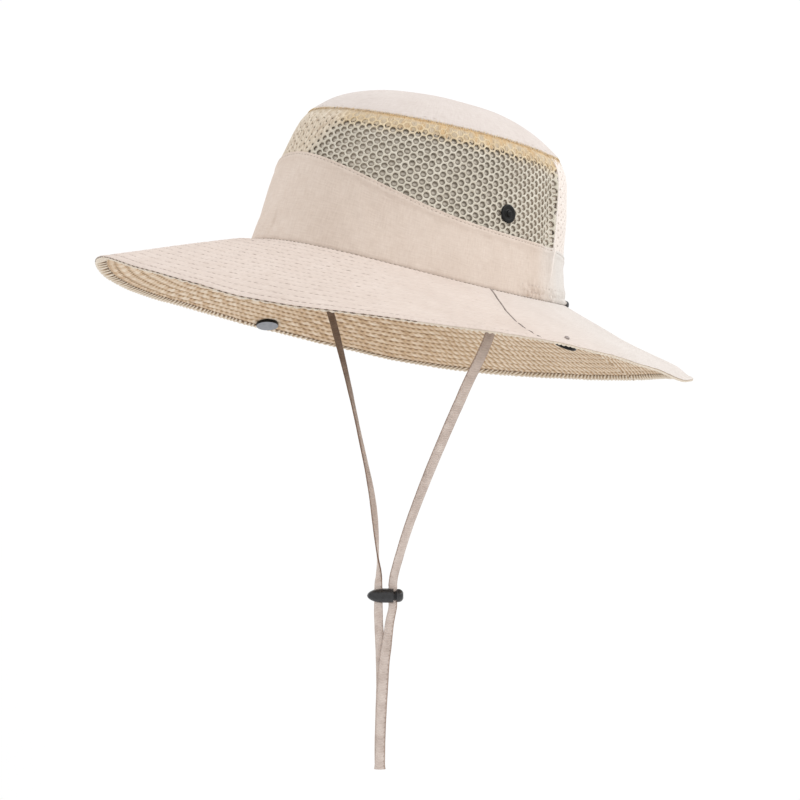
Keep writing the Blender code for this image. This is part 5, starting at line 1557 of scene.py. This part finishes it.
slots = [((c - CORD_W / 2 - 0.0004, -0.0010, -0.008), (c + CORD_W / 2 + 0.0004, 0.0010, 0.008)) for c in STRAND.values()]
shell_body = bean("chin_lock_shell", -0.0111, 0.0128, 0.0047, 0.00435, 2.6, 1.8, "plastic", 0.0)
carve(shell_body, [cutter((0.0016, -0.0037, -0.0037), (0.014, 0.0037, 0.0037), True), cutter((0.0050, -0.01, -0.01), (0.020, 0.01, 0.01))]
      + [cutter(*s) for s in slots])
settle(shell_body, "chin_lock", ["chin_lock_body"])
knob = turned("chin_lock_plunger", ((0, 0.0111), (0.0018, 0.0111), (0.0031, 0.0104), (0.0039, 0.0092), (0.0041, 0.0080), (0.0039, 0.0069), (0.0033, 0.0066),
                                    (0.0031, 0.0062), (0.0029, 0.0054), (0.0029, 0.0031), (0, 0.0031)), LP, E1, "plastic", 56, 0.0003)
carve(knob, [cutter((0.0010, -0.0012, -0.008), (0.0090, 0.0012, 0.008))])
settle(knob, "chin_lock_button", ["chin_lock_button"])

# ------------------------------------------------------------------ size cord, eyelets and lock behind the crown
TILT3 = Matrix.Rotation(PITCH, 3, "X")
rx = Matrix.Rotation(REAR_TILT, 3, "X")
cross = np.array(Vector(REAR_POS) + rx @ Vector((0, REAR_HOLE, 0)))


def plain_crown(phi, h, off):
    phi = np.array([phi])
    s = s_of_h(h + 0 * phi)
    e, d = 0.004, 0.0005
    n = unit(np.cross(crown_raw(phi + e, s) - crown_raw(phi - e, s), crown_raw(phi, s + d) - crown_raw(phi, s - d)))
    return (crown_raw(phi, s) + n * off)[0], n[0]


mid_gap = -(FABRIC + 0.0002 + CORD_ROOM / 2)
hidden = [plain_crown(math.radians(deg), 0.0060, mid_gap)[0] for deg in (122, 131, 140, 149, 158)]
pv, nv_ = plain_crown(PI - math.asin(EYELET_X / BASE_A), 0.0060, 0.0)
sxv = np.array((1.0, 0.0, 0.0))
shown = [hidden[-1], pv - nv_ * 0.0027 + sxv * 0.0030, pv - nv_ * 0.0003, pv + nv_ * 0.0034 - sxv * 0.0016,
         np.array((0.0112, cross[1] - 0.0016, cross[2] + 0.0003)), np.array((0.0066, cross[1], cross[2])), np.array((0.0030, cross[1], cross[2]))]
half_path = np.vstack([smooth_curve(hidden, 20)[:-1], smooth_curve(shown, 20)])
full = even(np.vstack([half_path, half_path[::-1] * (-1, 1, 1)]), 0.0007)
tg = unit(np.gradient(full, axis=0))
ref = unit(np.cross(tg, np.array((0.05, 0.1, 1.0))))
b2 = np.cross(tg, ref)
a = 2 * PI * np.arange(14) / 14
s = np.concatenate([[0], np.cumsum(np.linalg.norm(np.diff(full, axis=0), axis=1))])
rad = SIZE_CORD_R * (1 + 0.06 * np.sin(2 * PI * s / 0.0018)[:, None] * np.cos(3 * a)[None])
ring = full[:, None] + ref[:, None] * (np.cos(a)[None] * rad)[..., None] + b2[:, None] * (np.sin(a)[None] * rad)[..., None]
settle(sweep("size_cord", tilt(ring), s, np.append(np.arange(14) / 14, 1.0), "size_cord"), "hat", ["rear_drawcord"])
for side, sx in SIDES:
    pos = tilt(pv * (sx, 1, 1))
    nor = tilt(nv_ * (sx, 1, 1))
    settle(turned("size_eyelet_" + side, ((0.0042, 0.0011), (0.0046, 0.0008), (0.0047, 0.0003), (0.0028, 0.0003), (0.0027, 0.0008), (0.0030, 0.0011)),
                  pos, nor, "eyelet", 48, 0.0002, closed=True), "hat", ["rear_eyelet_" + side])
axis = np.array(TILT3 @ (rx @ Vector((0, 1, 0))))
base = tilt(np.array(REAR_POS))


def rear_cut(ob, along_x, r, y0, y1, shift=0.0):
    """Bore through a rear lock piece, across it or along it; shift moves a cross bore outwards."""
    bm = bmesh.new()
    bmesh.ops.create_cone(bm, cap_ends=True, segments=32, radius1=r, radius2=r, depth=y1 - y0)
    me = bpy.data.meshes.new("cutter")
    bm.to_mesh(me)
    bm.free()
    c = bpy.data.objects.new("cutter", me)
    bpy.context.scene.collection.objects.link(c)
    d = Vector((1, 0, 0)) if along_x else Vector(axis)
    at = Vector(base + axis * (REAR_HOLE + shift if along_x else 0.5 * (y0 + y1)))
    c.matrix_world = Matrix.Translation(at) @ Vector((0, 0, 1)).rotation_difference(d).to_matrix().to_4x4()
    carve(ob, [c])


barrel = turned("size_lock_barrel", ((0, REAR_L), (0.0034, REAR_L), (0.0042, REAR_L - 0.0006), (0.0042, 0.0105), (0.0040, 0.0101), (0.0042, 0.0097), (0.0042, 0.0052),
                                     (0.0040, 0.0048), (0.0042, 0.0044), (0.0042, 0.0010), (0.0034, 0.0), (0, 0.0)), base, axis, "plastic", 56, 0.0003)
rear_cut(barrel, False, 0.0030, 0.0014, REAR_L + 0.002)
rear_cut(barrel, True, 0.0014, -0.008, 0.008)
settle(barrel, "hat", ["rear_lock_barrel"])
plunger = turned("size_lock_plunger", ((0, REAR_L + 0.0045), (0.0022, REAR_L + 0.0045), (0.0034, REAR_L + 0.0037), (0.0034, REAR_L + 0.0018), (0.0027, REAR_L + 0.0018),
                                       (0.0027, 0.0043), (0, 0.0043)), base, axis, "plastic", 48, 0.0004)
for shift in (0.0, 0.0004, 0.0008, 0.0012, 0.0016):                     # long slot, so that the cord stays clear as the plunger goes in
    rear_cut(plunger, True, 0.0016, -0.006, 0.006, shift)
settle(plunger, "rear_lock_plunger", ["rear_lock_plunger"])

# wire spring under the plunger: its foot stays in the barrel and its head would go with the plunger, but here it is
# built in place and attached to no body
a = 2 * PI * np.linspace(0, 2.5, 151)
e_x = np.array((1.0, 0.0, 0.0))
e_z = np.cross(e_x, axis)
radial = e_x[None] * np.cos(a)[:, None] + e_z[None] * np.sin(a)[:, None]
path = base + radial * 0.0019 + axis[None] * np.linspace(0.0019, 0.0038, 151)[:, None]
b2 = unit(np.cross(unit(np.gradient(path, axis=0)), radial))
w = 2 * PI * np.arange(10) / 10
ring = path[:, None] + 0.0002 * (radial[:, None] * np.cos(w)[None, :, None] + b2[:, None] * np.sin(w)[None, :, None])
coil = sweep("size_lock_coil", ring, a * 0.0019, np.append(w, 2 * PI) * 0.0002, "steel")
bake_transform(coil)
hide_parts("rear_lock_spring")

node = NODES["chin_lock_spring"]
node.data.materials.clear()
node.data.materials.append(MAT["steel"])

for side, sx in SIDES:
    ob, path = CORDS[side]
    tuple(path[0])
    length_of(path)
    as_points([tuple(q) for q in path[::4]] + [tuple(path[-1])])
ob, path = CORDS["tail"]
tuple(path[0])
length_of(path)
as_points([tuple(q) for q in path[::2]] + [tuple(path[-1])])

# ------------------------------------------------------------------ stage and light
FLOOR_Z = -0.62
k = Mat("floor_paper", rough=0.9, spec=0.1)
tone = k.noise(k.coords("Object"), 6.0, 3.0, 0.5)
k.colour(k.ramp(tone, ((0.3, (0.94, 0.94, 0.94, 1)), (0.7, (0.96, 0.96, 0.96, 1)))))
MAT["floor"] = k.m
ang = 2 * PI * np.arange(96) / 96
rr = np.array((0.0, 0.25, 0.5, 0.75, 1.0)) * 0.9
verts = [(0, 0, FLOOR_Z)] + [(r * math.cos(a), r * math.sin(a), FLOOR_Z) for r in rr[1:] for a in ang]
ix = 1 + np.arange(4 * 96).reshape(4, 96)
ixw = np.concatenate([ix, ix[:, :1]], 1)
quads = np.stack([ixw[:-1, :-1], ixw[1:, :-1], ixw[1:, 1:], ixw[:-1, 1:]], -1).reshape(-1, 4)
fan = np.stack([np.zeros(96, int), ixw[0, :-1], ixw[0, 1:]], -1)
floor = build("floor", verts, [quads, fan], None, "floor", None, 0)
floor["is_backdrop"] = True

world = bpy.data.worlds.new("studio")
bpy.context.scene.world = world
world.use_nodes = True
bg = world.node_tree.nodes["Background"]
bg.inputs["Color"].default_value = (1.0, 1.0, 1.0, 1.0)
toward = (CAM_R * 0.80 - CAM_C * 0.50 + Vector((0, 0, 0.35))).normalized()
tree = world.node_tree
where = tree.nodes.new("ShaderNodeTexCoord")
dot = tree.nodes.new("ShaderNodeVectorMath")
dot.operation = "DOT_PRODUCT"
dot.inputs[1].default_value = toward
level = tree.nodes.new("ShaderNodeMapRange")
for key, val in (("From Min", -0.9), ("From Max", 0.45), ("To Min", 0.86), ("To Max", 1.02)):
    level.inputs[key].default_value = val
tree.links.new(where.outputs["Generated"], dot.inputs[0])
tree.links.new(dot.outputs["Value"], level.inputs["Value"])
tree.links.new(level.outputs["Result"], bg.inputs["Strength"])


def area(name, at, to, size, watts, colour=(1, 1, 1)):
    d = bpy.data.lights.new(name, "AREA")
    d.shape, d.size, d.size_y = "RECTANGLE", size[0], size[1]
    d.energy, d.color = watts, colour
    o = bpy.data.objects.new(name, d)
    bpy.context.scene.collection.objects.link(o)
    o.location = at
    o.rotation_mode = "QUATERNION"
    o.rotation_quaternion = (Vector(to) - Vector(at)).to_track_quat("-Z", "Y")
    return o


def from_camera(right, up, toward):
    return CAM_R * right + Vector((0, 0, 1)) * up + CAM_C * toward


area("key", from_camera(1.75, 1.25, 0.45), (0, 0, 0), (1.2, 1.2), 12.0, (1.0, 0.993, 0.985))
area("side", from_camera(-1.8, 0.20, -0.70), (0, 0, 0.03), (0.9, 0.9), 5.0, (0.92, 0.98, 1.06))
area("top", (0.0, 0.0, 1.7), (0, 0, 0), (1.6, 1.6), 5.0)
scene = bpy.context.scene
scene.view_settings.view_transform = "Standard"
scene.view_settings.look = "None"

# ------------------------------------------------------------------ sizes and end
bpy.context.view_layer.update()
lo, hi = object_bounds()
{"cad": [CAD_LO, CAD_HI], "visual": [list(lo), list(hi)]}
